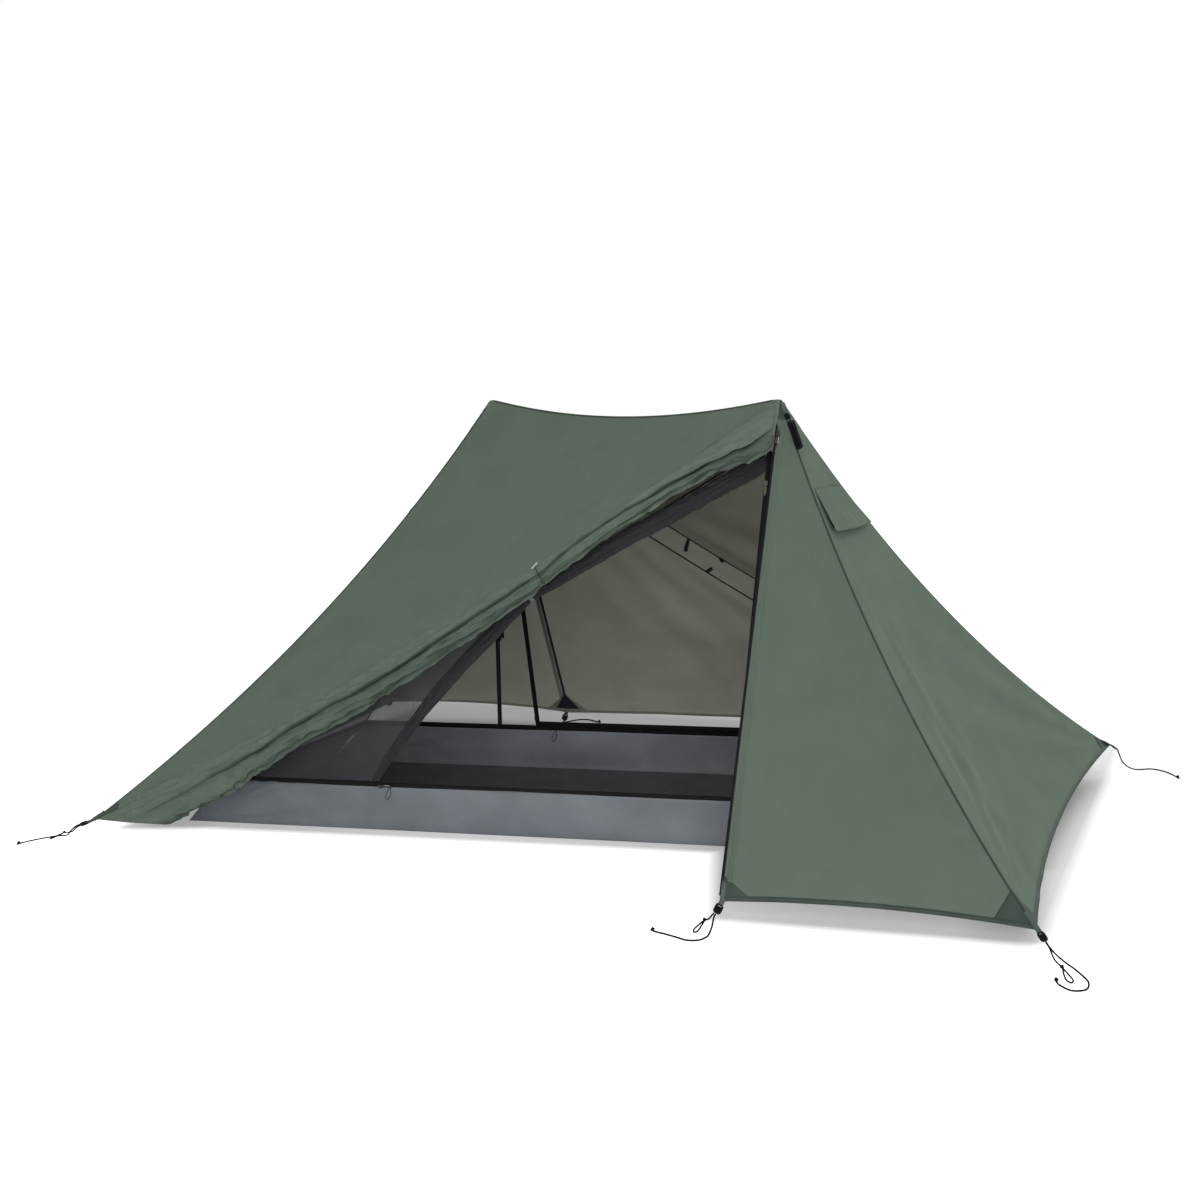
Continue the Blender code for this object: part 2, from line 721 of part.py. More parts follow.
def make_vent(fly, side, panel, peak):
    """The hood follows its panel and lifts evenly from hinge to lip; the prop leans in below the lip."""
    labels = fly.ordered(panel)
    top = labels.index(peak)
    first = (top + 1) % 3
    last = (top + 2) % 3
    foot = (fly.corners[labels[first]] + fly.corners[labels[last]]) / 2
    median = np.linalg.norm(foot - fly.corners[peak])
    normal = fly.normal(panel)
    hood_length = HOOD_LIP_DISTANCE - HOOD_TOP_DISTANCE
    slope = HOOD_RISE / hood_length

    def on_panel(distance, cross):
        weights = [0.0, 0.0, 0.0]
        down = distance / median
        weights[top] = 1 - down
        weights[first] = down * (1 - cross)
        weights[last] = down * cross
        return fly.facet(panel, weights)

    lower = []
    for row in range(HOOD_ROWS + 1):
        distance = HOOD_TOP_DISTANCE + hood_length * row / HOOD_ROWS
        height = HOOD_GAP + (distance - HOOD_TOP_DISTANCE) * slope
        for column in range(HOOD_COLUMNS + 1):
            cross = HOOD_SIDE_SHARE + (1 - 2 * HOOD_SIDE_SHARE) * column / HOOD_COLUMNS
            lower.append(on_panel(distance, cross) + normal * height)
    upper = [point + normal * HOOD_THICKNESS for point in lower]
    count = len(lower)
    width = HOOD_COLUMNS + 1
    faces = []
    for row in range(HOOD_ROWS):
        for column in range(HOOD_COLUMNS):
            base = row * width + column
            quad = (base, base + 1, base + width + 1, base + width)
            faces.append(quad)
            faces.append(tuple(number + count for number in reversed(quad)))
    rim = list(range(width))
    rim += [row * width + HOOD_COLUMNS for row in range(1, HOOD_ROWS + 1)]
    rim += [HOOD_ROWS * width + column for column in range(HOOD_COLUMNS - 1, -1, -1)]
    rim += [row * width for row in range(HOOD_ROWS - 1, 0, -1)]
    for place, this in enumerate(rim):
        following = rim[(place + 1) % len(rim)]
        faces.append((following, this, this + count, following + count))
    hinge = (lower[0] + lower[HOOD_COLUMNS]) / 2
    axis = unit(lower[HOOD_COLUMNS] - lower[0])
    add_object("vent_hood_" + side, lower + upper, faces, fly_cloth(), hinge)

    reach = hood_length - PROP_INSET
    lean = math.radians(PROP_SLANT_DEGREES)
    space = HOOD_GAP + reach * slope - 2 * PROP_CLEARANCE - PROP_THICKNESS
    length = space / (math.cos(lean) + slope * math.sin(lean))
    spot = on_panel(HOOD_TOP_DISTANCE + reach, 0.5)
    pivot = spot + normal * (HOOD_GAP + reach * slope - PROP_CLEARANCE)
    uphill = unit(on_panel(HOOD_TOP_DISTANCE, 0.5) - spot)
    uphill = unit(uphill - uphill.dot(axis) * axis)
    out = unit(np.cross(axis, uphill))
    if out.dot(normal) < 0:
        out = -out
    way = unit(uphill * math.sin(lean) - out * math.cos(lean))
    face = unit(uphill * math.cos(lean) + out * math.sin(lean))
    half = PROP_WIDTH / 2
    outline = ((0.0, -half), (length, -half), (length, half), (0.0, half))
    prism("vent_prop_" + side, outline, pivot - face * PROP_THICKNESS, way, axis, face,
          PROP_THICKNESS, black_plastic(), pivot)


def slider_outline():
    """A slider's body, a narrow neck and its pull, seen square to the zip."""
    half = SLIDER_LENGTH / 2
    wide = SLIDER_WIDTH / 2
    neck = PULL_NECK_WIDTH / 2
    pull = PULL_WIDTH / 2
    end = half + PULL_NECK_LENGTH
    tip = end + PULL_LENGTH
    return ((-half, -wide), (half, -wide), (half, -neck), (end, -neck), (end, -pull), (tip, -pull),
            (tip, pull), (end, pull), (end, neck), (half, neck), (half, wide), (-half, wide))


def make_slider(name, centre, along, normal, surface):
    across = unit(np.cross(normal, along))
    prism(name, slider_outline(), centre, along, across, normal, SLIDER_THICKNESS, surface)


def seam_outward(fly, first, last):
    """The mean outward normal of the panels on a seam."""
    normals = [fly.normal(name) for name, labels in fly.panels.items() if first in labels and last in labels]
    return unit(sum(normals))


def make_fly_sliders(fly):
    """The front slider rests at the top of its open zip, the back one at the foot of its closed zip."""
    front = fly.seam("peak_right", "door_front")
    inside = fly.inward("fly_front_panel", "peak_right", "door_front")
    normal = fly.normal("fly_front_panel")
    spot = front.at_distance(FLY_SLIDER_TOP) + inside * SLIDER_WIDTH / 2 + normal * SLIDER_LIFT
    make_slider("fly_front_slider", spot, front.along(0.5), normal, black_plastic())
    back = fly.seam("door_back", "peak_left")
    normal = seam_outward(fly, "door_back", "peak_left")
    spot = back.at_distance(FLY_SLIDER_BOTTOM) + normal * SLIDER_LIFT
    make_slider("fly_back_slider", spot, back.along(0.5), normal, black_plastic())


def roll_path(lines, plane_normal, start, end, rings, half_width, width_shares):
    """Centres that hang below one or two seams in a row, with each ring's downhill way and half width."""
    total = sum(line.length for line in lines)
    seam_points = []
    for ring in range(rings + 1):
        distance = start + (total - start - end) * ring / rings
        line = lines[0]
        if distance > line.length and len(lines) > 1:
            distance -= line.length
            line = lines[1]
        seam_points.append(line.at_distance(distance))
    places = []
    for ring, point in enumerate(seam_points):
        before = seam_points[max(ring - 1, 0)]
        after = seam_points[min(ring + 1, rings)]
        downhill = unit(np.cross(plane_normal, unit(after - before)))
        if downhill[2] > 0:
            downhill = -downhill
        width = half_width * shares_at(width_shares, ring / rings)
        places.append((point + downhill * (width + ROLL_HANG), downhill, width))
    return places


def make_roll(name, tie_name, lines, plane_normal, sizes, tie_ring, surface, tie_surface):
    """A rolled door: rings that hang below its seam line, with a loop of webbing round its middle."""
    half_width, half_depth, start, end, rings, sides, width_shares, depth_shares = sizes
    places = roll_path(lines, plane_normal, start, end, rings, half_width, width_shares)
    path = [centre for centre, downhill, width in places]
    wide = [downhill for centre, downhill, width in places]
    widths = [width for centre, downhill, width in places]
    deep = [plane_normal] * len(path)
    depths = [half_depth * shares_at(depth_shares, ring / rings) for ring in range(rings + 1)]
    swept(name, path, wide, deep, widths, depths, sides, surface)

    centre = path[tie_ring]
    along = unit(path[tie_ring + 1] - path[tie_ring - 1])
    way = unit(wide[tie_ring] - wide[tie_ring].dot(along) * along)
    square = np.cross(along, way)
    clear = 2 * SEAM_GAP / math.cos(math.pi / TIE_SIDES)
    inner_width = widths[tie_ring] / math.cos(math.pi / TIE_SIDES) + clear
    inner_depth = depths[tie_ring] / math.cos(math.pi / TIE_SIDES) + clear
    vertices = []
    for extra, side_step in ((0.0, -0.5), (0.0, 0.5), (TIE_THICKNESS, 0.5), (TIE_THICKNESS, -0.5)):
        for side in range(TIE_SIDES):
            angle = 2 * math.pi * side / TIE_SIDES
            vertices.append(centre + along * TIE_WIDTH * side_step
                            + way * (inner_width + extra) * math.cos(angle)
                            + square * (inner_depth + extra) * math.sin(angle))
    faces = []
    for band in range(4):
        for side in range(TIE_SIDES):
            following = (side + 1) % TIE_SIDES
            low = band * TIE_SIDES
            high = (band + 1) % 4 * TIE_SIDES
            faces.append((low + side, low + following, high + following, high + side))
    add_object(tie_name, vertices, faces, tie_surface, smooth=False)


def floor_side(x):
    """Where the floor's front edge lies, at a place along X."""
    return -FLOOR_SIDE_OFFSET + FLOOR_SKEW_SHARE * x


def inner_corners():
    """Corners of floor, wall tops, doors and mesh peaks. A name ends in 2 for the back's half-turn twin."""
    low = FLOOR_HALF_LENGTH
    high = FLOOR_HALF_LENGTH - WALL_LEAN
    hinge = DOOR_HINGE_IN - high
    peak = PEAK_X - INNER_PEAK_BACK
    zip_foot = peak - DOOR_ZIP_BACK
    corners = {
        "floor_a": np.array((-low, floor_side(-low), 0.0)),
        "floor_b": np.array((low, floor_side(low), 0.0)),
        "top_a": np.array((-high, floor_side(-high), WALL_HEIGHT)),
        "top_b": np.array((high, floor_side(high), WALL_HEIGHT)),
        "hinge": np.array((hinge, floor_side(hinge), WALL_HEIGHT)),
        "zip": np.array((zip_foot, floor_side(zip_foot), WALL_HEIGHT)),
        "peak": np.array((peak, INNER_PEAK_ASIDE - PEAK_Y, PEAK_HEIGHT - INNER_PEAK_DROP)),
    }
    for label in list(corners):
        corners[label + "2"] = turned(corners[label])
    corners["tie"] = corners["top_a"] + DOOR_TIE_SHARE * (corners["peak"] - corners["top_a"])
    return corners


def make_bathtub(corners):
    """A floor sheet and four raised sides, mitred where they meet."""
    ring = ("floor_a", "floor_b", "floor_a2", "floor_b2")
    rim = ("top_a", "top_b", "top_a2", "top_b2")
    names = ("inner_wall_front", "inner_wall_right", "inner_wall_back", "inner_wall_left")
    normals = []
    for edge in range(4):
        start = corners[ring[edge]]
        end = corners[ring[(edge + 1) % 4]]
        normals.append(unit(np.cross(end - start, corners[rim[edge]] - start)))
    for edge, name in enumerate(names):
        following = (edge + 1) % 4
        points = (corners[ring[edge]], corners[ring[following]], corners[rim[following]], corners[rim[edge]])
        around = (DOWN, normals[following], None, normals[edge - 1])
        slab(name, points, around, INNER_THICKNESS, floor_cloth())
    points = [corners[label] for label in reversed(ring)]
    around = (normals[2], normals[1], normals[0], normals[3])
    slab("inner_floor", points, around, INNER_THICKNESS, floor_cloth())


def make_inner_mesh(corners):
    seams = {
        ("peak", "peak2"): (INNER_ROOF_SAG, DOWN),
        ("top_a2", "peak2"): (INNER_SEAM_SAG, DOWN),
        ("top_a", "peak2"): (INNER_ROOF_SAG, DOWN),
        ("top_a2", "peak"): (INNER_ROOF_SAG, DOWN),
        ("top_b", "peak"): (INNER_SEAM_SAG, DOWN),
        ("top_b2", "peak2"): (INNER_SEAM_SAG, DOWN),
        ("hinge", "tie"): (DOOR_BOW, UP),
    }
    panels = {
        "inner_roof_front": ("top_a", "peak", "peak2"),
        "inner_roof_back": ("top_a2", "peak2", "peak"),
        "inner_end_right": ("top_b", "top_a2", "peak"),
        "inner_end_left": ("top_b2", "top_a", "peak2"),
        "inner_front_left_mesh": ("top_a", "hinge", "tie"),
        "inner_front_right_mesh": ("zip", "top_b", "peak"),
        "inner_back_right_mesh": ("top_a2", "hinge2", "peak2"),
        "inner_back_left_mesh": ("zip2", "top_b2", "peak2"),
        "inner_back_door": ("hinge2", "zip2", "peak2"),
    }
    joined = {
        ("inner_roof_front", "top_a", "peak"): "inner_front_left_mesh",
        ("inner_front_left_mesh", "top_a", "tie"): "inner_roof_front",
    }
    cuts = {label: INNER_CORNER_CUT for label in corners}
    cuts["peak"] = INNER_PEAK_CUT
    cuts["peak2"] = INNER_PEAK_CUT
    middle = (0.0, 0.0, WALL_HEIGHT)
    inner = Cloth(corners, panels, seams, cuts, INNER_THICKNESS, INNER_STEPS, middle, joined)
    for name in panels:
        inner.build(name, mesh_cloth())
    return inner


def make_inner_zips(inner):
    """Two sliders on each inner door: one on the side run, one on the sill."""
    for side, tail, panel in (("front", "", "inner_front_right_mesh"), ("back", "2", "inner_back_left_mesh")):
        peak = inner.corners["peak" + tail]
        corner = inner.corners["zip" + tail]
        hinge = inner.corners["hinge" + tail]
        normal = inner.normal(panel)
        up = unit(peak - corner)
        flat = unit(hinge - corner)
        base = corner + normal * SLIDER_LIFT
        height = np.linalg.norm(peak - corner)
        width = np.linalg.norm(hinge - corner)
        beside = base - flat * (SLIDER_WIDTH / 2)
        below = base - UP * (SLIDER_WIDTH / 2)
        name = "inner_" + side
        if side == "front":
            make_slider(name + "_side_slider", beside + up * (height - INNER_SLIDER_TOP), -up, normal,
                        black_plastic())
            make_slider(name + "_sill_slider", below + flat * (width - SILL_SLIDER_END), -flat, normal,
                        black_plastic())
        else:
            make_slider(name + "_side_slider", beside + up * INNER_SLIDER_BOTTOM, up, normal,
                        black_plastic())
            make_slider(name + "_sill_slider", below + flat * SILL_SLIDER_END, flat, normal,
                        black_plastic())


def make_pole(side, peak, seat, half):
    """One pole from its tip on the ground to its grip under the peak cap, leaning a little."""
    foot = np.array((POLE_FOOT_X * half, -POLE_FOOT_Y * half, 0.0))
    top = np.array((peak[0], peak[1], seat - GRIP_TOP_GAP))
    lean = unit(top - foot)
    foot[2] = TIP_RADIUS * math.hypot(lean[0], lean[1])
    length = np.linalg.norm(top - foot)
    axis = unit(top - foot)
    grip_start = length - GRIP_LENGTH
    bore_end = grip_start + GRIP_BORE_DEPTH
    bore = UPPER_RADIUS + POLE_CLEARANCE
    grip = ((0.0, length), (GRIP_TOP_RADIUS, length),
            (GRIP_RADIUS * GRIP_SHOULDER_SHARE, length - GRIP_RADIUS / 2),
            (GRIP_RADIUS, length - GRIP_RADIUS),
            (GRIP_RADIUS, length - 2 * GRIP_RADIUS), (GRIP_WAIST_RADIUS, length - 3 * GRIP_RADIUS),
            (GRIP_RADIUS, length - GRIP_LENGTH / 2), (GRIP_WAIST_RADIUS, grip_start), (bore, grip_start),
            (bore, bore_end), (0.0, bore_end))
    lathe("pole_" + side + "_grip", grip, foot, axis, grip_foam(), top)

    low = LOCK_HEIGHT - LOCK_LENGTH / 2
    high = LOCK_HEIGHT + LOCK_LENGTH / 2
    end = bore_end - POLE_CLEARANCE
    upper = ((LOCK_RADIUS, low), (LOCK_RADIUS, high), (UPPER_RADIUS, high), (UPPER_RADIUS, end),
             (UPPER_BORE_RADIUS, end), (UPPER_BORE_RADIUS, low))
    lathe("pole_" + side + "_upper_shaft", upper, foot, axis, pole_metal(), foot + axis * low)

    insert = low + LOWER_INSERT
    hub_low = BASKET_HEIGHT - BASKET_HUB_LENGTH / 2
    hub_high = BASKET_HEIGHT + BASKET_HUB_LENGTH / 2
    rim_low = BASKET_HEIGHT - BASKET_THICKNESS / 2
    rim_high = BASKET_HEIGHT + BASKET_THICKNESS / 2
    lower = ((0.0, 0.0), (TIP_RADIUS, 0.0), (TIP_RADIUS, TIP_LENGTH), (FERRULE_RADIUS, TIP_LENGTH),
             (FERRULE_RADIUS, hub_low), (BASKET_HUB_RADIUS, hub_low), (BASKET_HUB_RADIUS, rim_low),
             (BASKET_RADIUS, rim_low), (BASKET_RADIUS, rim_high), (BASKET_HUB_RADIUS, rim_high),
             (BASKET_HUB_RADIUS, hub_high), (LOWER_RADIUS, hub_high), (LOWER_RADIUS, insert), (0.0, insert))
    lathe("pole_" + side + "_lower_shaft", lower, foot, axis, pole_metal(), foot)

    outward = unit(np.array((0.0, -half, 0.0)) - np.array((0.0, -half, 0.0)).dot(axis) * axis)
    sideways = np.cross(outward, axis)
    near = -LEVER_LENGTH * (1 - LEVER_REACH_SHARE)
    far = LEVER_LENGTH * LEVER_REACH_SHARE
    base = foot + axis * LOCK_HEIGHT + outward * (LOCK_RADIUS + POLE_CLEARANCE)
    pivot = base + sideways * near + outward * LEVER_THICKNESS / 2
    half_height = LEVER_HEIGHT / 2
    waist = half_height * 2 / 3
    middle = (near + far) / 2
    outline = ((near, -half_height), (middle, -waist), (far, -half_height),
               (far, half_height), (middle, waist), (near, half_height))
    prism("pole_" + side + "_lock_lever", outline, base, sideways, axis, outward,
          LEVER_THICKNESS, black_plastic(), pivot)


def strap_outline():
    """A webbing strap that widens into a flat cord lock."""
    strap = STRAP_WIDTH / 2
    body = LOCK_BODY_WIDTH / 2
    end = STRAP_BEYOND + LOCK_BODY_LENGTH
    corner = LOCK_BODY_WIDTH / 5
    return ((-STRAP_ON_FLY, -strap), (STRAP_BEYOND, -strap), (STRAP_BEYOND, -body), (end - corner, -body),
            (end, -body + corner), (end, body - corner), (end - corner, body), (STRAP_BEYOND, body),
            (STRAP_BEYOND, strap), (-STRAP_ON_FLY, strap))


def make_adjuster(fly, name, peak, corner, shift=None, panel=None):
    """The strap lies on the seam's outer side; returns where a cord leaves the lock, and which way."""
    line = fly.seam(peak, corner)
    along = line.along(1.0)
    out = seam_outward(fly, peak, corner) if panel is None else fly.normal(panel)
    out = unit(out - out.dot(along) * along)
    across = np.cross(out, along)
    centre = fly.corners[corner] + out * STRAP_LIFT
    if shift is not None:
        centre = centre + shift
    prism(name, strap_outline(), centre, along, across, out, STRAP_THICKNESS, webbing())
    reach = STRAP_BEYOND + LOCK_BODY_LENGTH + CORD_START_GAP
    return centre + along * reach + out * STRAP_THICKNESS / 2, along


# The routes' points after the cord lock, by hand, each from its stake point's cord lock end.
# Steps along X and Y from there, and heights above the ground in cord radii.
FRONT_LEFT_ROUTE = ((-0.028, -0.004, 6.0), (-0.048, -0.010, 1.1), (-0.072, -0.030, 1.1),
                    (-0.088, -0.058, 1.1), (-0.110, -0.082, 1.1), (-0.132, -0.096, 1.1), (-0.138, -0.112, 1.1))
FRONT_RIGHT_ROUTE = ((0.014, -0.026, 7.0), (0.026, -0.052, 1.1), (0.044, -0.082, 1.1), (0.066, -0.112, 1.1),
                     (0.078, -0.140, 1.1), (0.072, -0.168, 1.1), (0.052, -0.178, 1.1), (0.026, -0.168, 1.1),
                     (0.006, -0.150, 1.1))
BACK_RIGHT_ROUTE = ((0.022, 0.010, 12.0), (0.046, 0.018, 3.0), (0.072, 0.030, 1.1), (0.104, 0.046, 1.1),
                    (0.138, 0.030, 1.1), (0.166, -0.006, 1.1), (0.188, -0.048, 1.1))
FRONT_DOOR_ROUTE = ((-0.004, -0.018, 10.0), (0.006, -0.040, 1.1), (0.002, -0.066, 1.1), (-0.022, -0.084, 1.1),
                    (-0.052, -0.078, 1.1), (-0.084, -0.074, 1.1), (-0.112, -0.058, 1.1))
BACK_DOOR_ROUTE = ((0.006, 0.018, 4.0), (0.016, 0.040, 1.1), (0.040, 0.056, 1.1), (0.070, 0.050, 1.1),
                   (0.094, 0.030, 1.1), (0.124, 0.026, 1.1))


def make_ground_cord(name, exit_point, along, route):
    points = [exit_point, exit_point + along * 4 * CORD_RADIUS]
    for east, north, height in route:
        points.append(np.array((exit_point[0] + east, exit_point[1] + north, height * CORD_RADIUS)))
    places = smooth_route(points, CORD_SPACING)
    places[:, 2] = np.maximum(places[:, 2], CORD_RADIUS + SEAM_GAP)
    tube(name, places, CORD_RADIUS, 2, cord_black())


def make_hank(fly, name, peak, corner):
    """A guyline wound round its own standing part: one cord, down the middle and back up in turns."""
    line = fly.seam(peak, corner)
    out = seam_outward(fly, peak, corner)
    top = line.at_distance(HANK_START)
    bottom = line.at_distance(HANK_START + HANK_LENGTH)
    along = unit(bottom - top)
    out = unit(out - out.dot(along) * along)
    side = np.cross(along, out)
    lift = HANK_RADIUS + HANK_CORD_RADIUS + HANK_CLEARANCE
    axis_top = top + out * lift
    lead = line.at_distance(HANK_LEAD_START) + out * (HANK_CORD_RADIUS + HANK_CLEARANCE)
    rise = out * (lift - HANK_CORD_RADIUS - HANK_CLEARANCE)
    points = [lead]
    for share in (0.25, 0.5, 0.75):
        blend = (1 - math.cos(math.pi * share)) / 2
        points.append(lead + (axis_top - rise - lead) * share + rise * blend)
    core_steps = 6
    for step in range(core_steps + 1):
        points.append(axis_top + along * HANK_LENGTH * step / core_steps)
    pitch = (HANK_LENGTH - 4 * HANK_CORD_RADIUS) / HANK_TURNS
    turn_steps = HANK_TURN_POINTS // 2
    for step in range(1, turn_steps):
        share = step / turn_steps
        angle = math.pi * share
        radius = HANK_RADIUS * math.sin(angle / 2)
        drop = 2 * HANK_CORD_RADIUS * math.sin(angle)
        around = out * math.cos(angle) + side * math.sin(angle)
        points.append(axis_top + along * (HANK_LENGTH + drop) + around * radius)
    for step in range(HANK_TURNS * HANK_TURN_POINTS + 1):
        angle = math.pi + 2 * math.pi * step / HANK_TURN_POINTS
        back = pitch * step / HANK_TURN_POINTS
        around = out * math.cos(angle) + side * math.sin(angle)
        points.append(axis_top + along * (HANK_LENGTH - back) + around * HANK_RADIUS)
    tube(name, points, HANK_CORD_RADIUS, 1, cord_black())
    gap = self_gap(points[4:], HANK_CORD_RADIUS, HANK_TURN_POINTS)
    print(name, "least self gap in mm", round(1000 * gap, 2))


def build():
    for item in list(bpy.data.objects):
        bpy.data.objects.remove(item, do_unlink=True)

    fly = make_fly()
    right_seat = make_peak_cap(fly, "peak_cap_right", "peak_right",
                               ("peak_left", "front_left", "door_front", "front_right", "back_right"))
    left_seat = make_peak_cap(fly, "peak_cap_left", "peak_left",
                              ("peak_right", "back_right", "door_back", "back_left", "front_left"))
    make_vent(fly, "right", "fly_end_right", "peak_right")
    make_vent(fly, "left", "fly_end_left", "peak_left")
    make_fly_sliders(fly)

    door_plane = unit(np.cross(fly.corners["peak_right"] - fly.corners["front_left"],
                               fly.corners["door_front"] - fly.corners["front_left"]))
    sizes = (FLY_ROLL_HALF_WIDTH, FLY_ROLL_HALF_DEPTH, FLY_ROLL_START, FLY_ROLL_END, FLY_ROLL_RINGS,
             FLY_ROLL_SIDES, FLY_ROLL_WIDTH_SHARES, FLY_ROLL_DEPTH_SHARES)
    make_roll("fly_front_door_roll", "fly_roll_tie", [fly.seam("peak_right", "front_left")], door_plane,
              sizes, TIE_RING, fly_cloth(), webbing())

    corners = inner_corners()
    make_bathtub(corners)
    inner = make_inner_mesh(corners)
    make_inner_zips(inner)
    make_hanger(fly, inner, "inner_hanger_right", "peak_right", "peak_left", "peak",
                ("peak2", "top_a", "zip", "top_b", "top_a2"))
    make_hanger(fly, inner, "inner_hanger_left", "peak_left", "peak_right", "peak2",
                ("peak", "top_a2", "zip2", "top_b2", "top_a"))
    sizes = (INNER_ROLL_HALF_WIDTH, INNER_ROLL_HALF_DEPTH, INNER_ROLL_START, INNER_ROLL_END, INNER_ROLL_RINGS,
             INNER_ROLL_SIDES, INNER_ROLL_WIDTH_SHARES, INNER_ROLL_DEPTH_SHARES)
    lines = [inner.seam("hinge", "tie"), inner.seam("tie", "peak")]
    make_roll("inner_front_door_roll", "inner_roll_tie", lines, inner.normal("inner_front_left_mesh"),
              sizes, INNER_TIE_RING, mesh_cloth(), webbing())

    make_pole("right", fly.corners["peak_right"], right_seat, 1)
    make_pole("left", fly.corners["peak_left"], left_seat, -1)

    exits = {}
    exits["front_left"] = make_adjuster(fly, "adjuster_front_left", "peak_left", "front_left")
    exits["front_right"] = make_adjuster(fly, "adjuster_front_right", "peak_right", "front_right")
    exits["back_right"] = make_adjuster(fly, "adjuster_back_right", "peak_right", "back_right")
    exits["back_left"] = make_adjuster(fly, "adjuster_back_left", "peak_left", "back_left")
    shift = fly.inward("fly_front_panel", "peak_right", "door_front") * DOOR_STRAP_INSET
    exits["door_front"] = make_adjuster(fly, "adjuster_front_door", "peak_right", "door_front", shift,
                                        "fly_front_panel")
    shift = fly.inward("fly_back_panel", "peak_left", "door_back") * DOOR_STRAP_INSET
    exits["door_back"] = make_adjuster(fly, "adjuster_back_door", "peak_left", "door_back", shift,
                                       "fly_back_panel")
    make_ground_cord("cord_front_left", *exits["front_left"], FRONT_LEFT_ROUTE)
    make_ground_cord("cord_front_right", *exits["front_right"], FRONT_RIGHT_ROUTE)
    make_ground_cord("cord_back_right", *exits["back_right"], BACK_RIGHT_ROUTE)
    make_ground_cord("cord_front_door", *exits["door_front"], FRONT_DOOR_ROUTE)
    make_ground_cord("cord_back_door", *exits["door_back"], BACK_DOOR_ROUTE)
    make_hank(fly, "guyline_hank_right", "peak_right", "front_right")
    make_hank(fly, "guyline_hank_left", "peak_left", "back_left")


build()
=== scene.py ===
import math
import bmesh
import bpy
import numpy as np
from mathutils import Matrix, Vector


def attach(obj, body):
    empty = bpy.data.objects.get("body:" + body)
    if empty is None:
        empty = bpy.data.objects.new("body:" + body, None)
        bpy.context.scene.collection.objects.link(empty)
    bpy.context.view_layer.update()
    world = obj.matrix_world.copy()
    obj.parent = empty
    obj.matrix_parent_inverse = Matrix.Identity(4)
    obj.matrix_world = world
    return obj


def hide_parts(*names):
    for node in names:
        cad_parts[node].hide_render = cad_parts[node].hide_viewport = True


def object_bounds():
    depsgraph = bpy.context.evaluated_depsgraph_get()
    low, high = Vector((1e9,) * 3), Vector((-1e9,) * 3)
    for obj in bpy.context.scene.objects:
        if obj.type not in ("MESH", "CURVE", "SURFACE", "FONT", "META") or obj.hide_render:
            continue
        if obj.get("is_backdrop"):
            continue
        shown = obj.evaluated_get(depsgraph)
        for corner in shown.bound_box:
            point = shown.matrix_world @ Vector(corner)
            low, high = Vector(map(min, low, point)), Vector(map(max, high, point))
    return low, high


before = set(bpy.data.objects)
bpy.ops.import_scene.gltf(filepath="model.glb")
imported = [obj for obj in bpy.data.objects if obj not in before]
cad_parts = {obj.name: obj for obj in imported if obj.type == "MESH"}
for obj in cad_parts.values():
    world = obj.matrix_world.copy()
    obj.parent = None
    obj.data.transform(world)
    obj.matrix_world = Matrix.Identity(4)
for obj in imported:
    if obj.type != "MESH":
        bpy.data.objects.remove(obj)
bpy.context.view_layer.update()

# Camera: a longer lens in front and to the right of the tent, a little higher than its ridge,
# which looks slightly down at the open front door.
camera_place = np.array((1.6791, -4.0866, 1.2323))
camera_yaw = -0.405
camera_pitch = 0.1422
camera_roll = -0.0212
forward = np.array((math.sin(camera_yaw) * math.cos(camera_pitch),
                    math.cos(camera_yaw) * math.cos(camera_pitch), -math.sin(camera_pitch)))
level = np.array((math.cos(camera_yaw), -math.sin(camera_yaw), 0.0))
upright = np.cross(level, forward)
right = level * math.cos(camera_roll) + upright * math.sin(camera_roll)
top = upright * math.cos(camera_roll) - level * math.sin(camera_roll)
camera = bpy.data.objects.new("photo_camera", bpy.data.cameras.new("photo_camera"))
bpy.context.scene.collection.objects.link(camera)
camera.data.sensor_width = 36.0
camera.data.lens = 46.92
camera.matrix_world = Matrix([(*row, place) for row, place in
                              zip(np.stack([right, top, -forward], axis=1), camera_place)] + [(0, 0, 0, 1)])
bpy.context.scene.camera = camera

# Fly: seven three-sided panels of coated green polyester, cut with curved edges and sewn into one skin.
# It hangs from two pole tips and is pulled out to four corner stakes and two door stakes, so it folds
# a little away from its seams. Its inner face is painted browner and paler than its outer face: painted
# light, standing in for the light that comes through the cloth.


def unit(vectors):
    """Each vector over its own length."""
    vectors = np.asarray(vectors, float)
    return vectors / np.maximum(np.linalg.norm(vectors, axis=-1, keepdims=True), 1e-12)


def square_to(way, other):
    """The part of a way that is square to another, as a way of length one."""
    return unit(way - way.dot(other) * other)


def between(first, last, share):
    """Places at their share of the straight way from the first to the last."""
    return first * (1 - share) + last * share


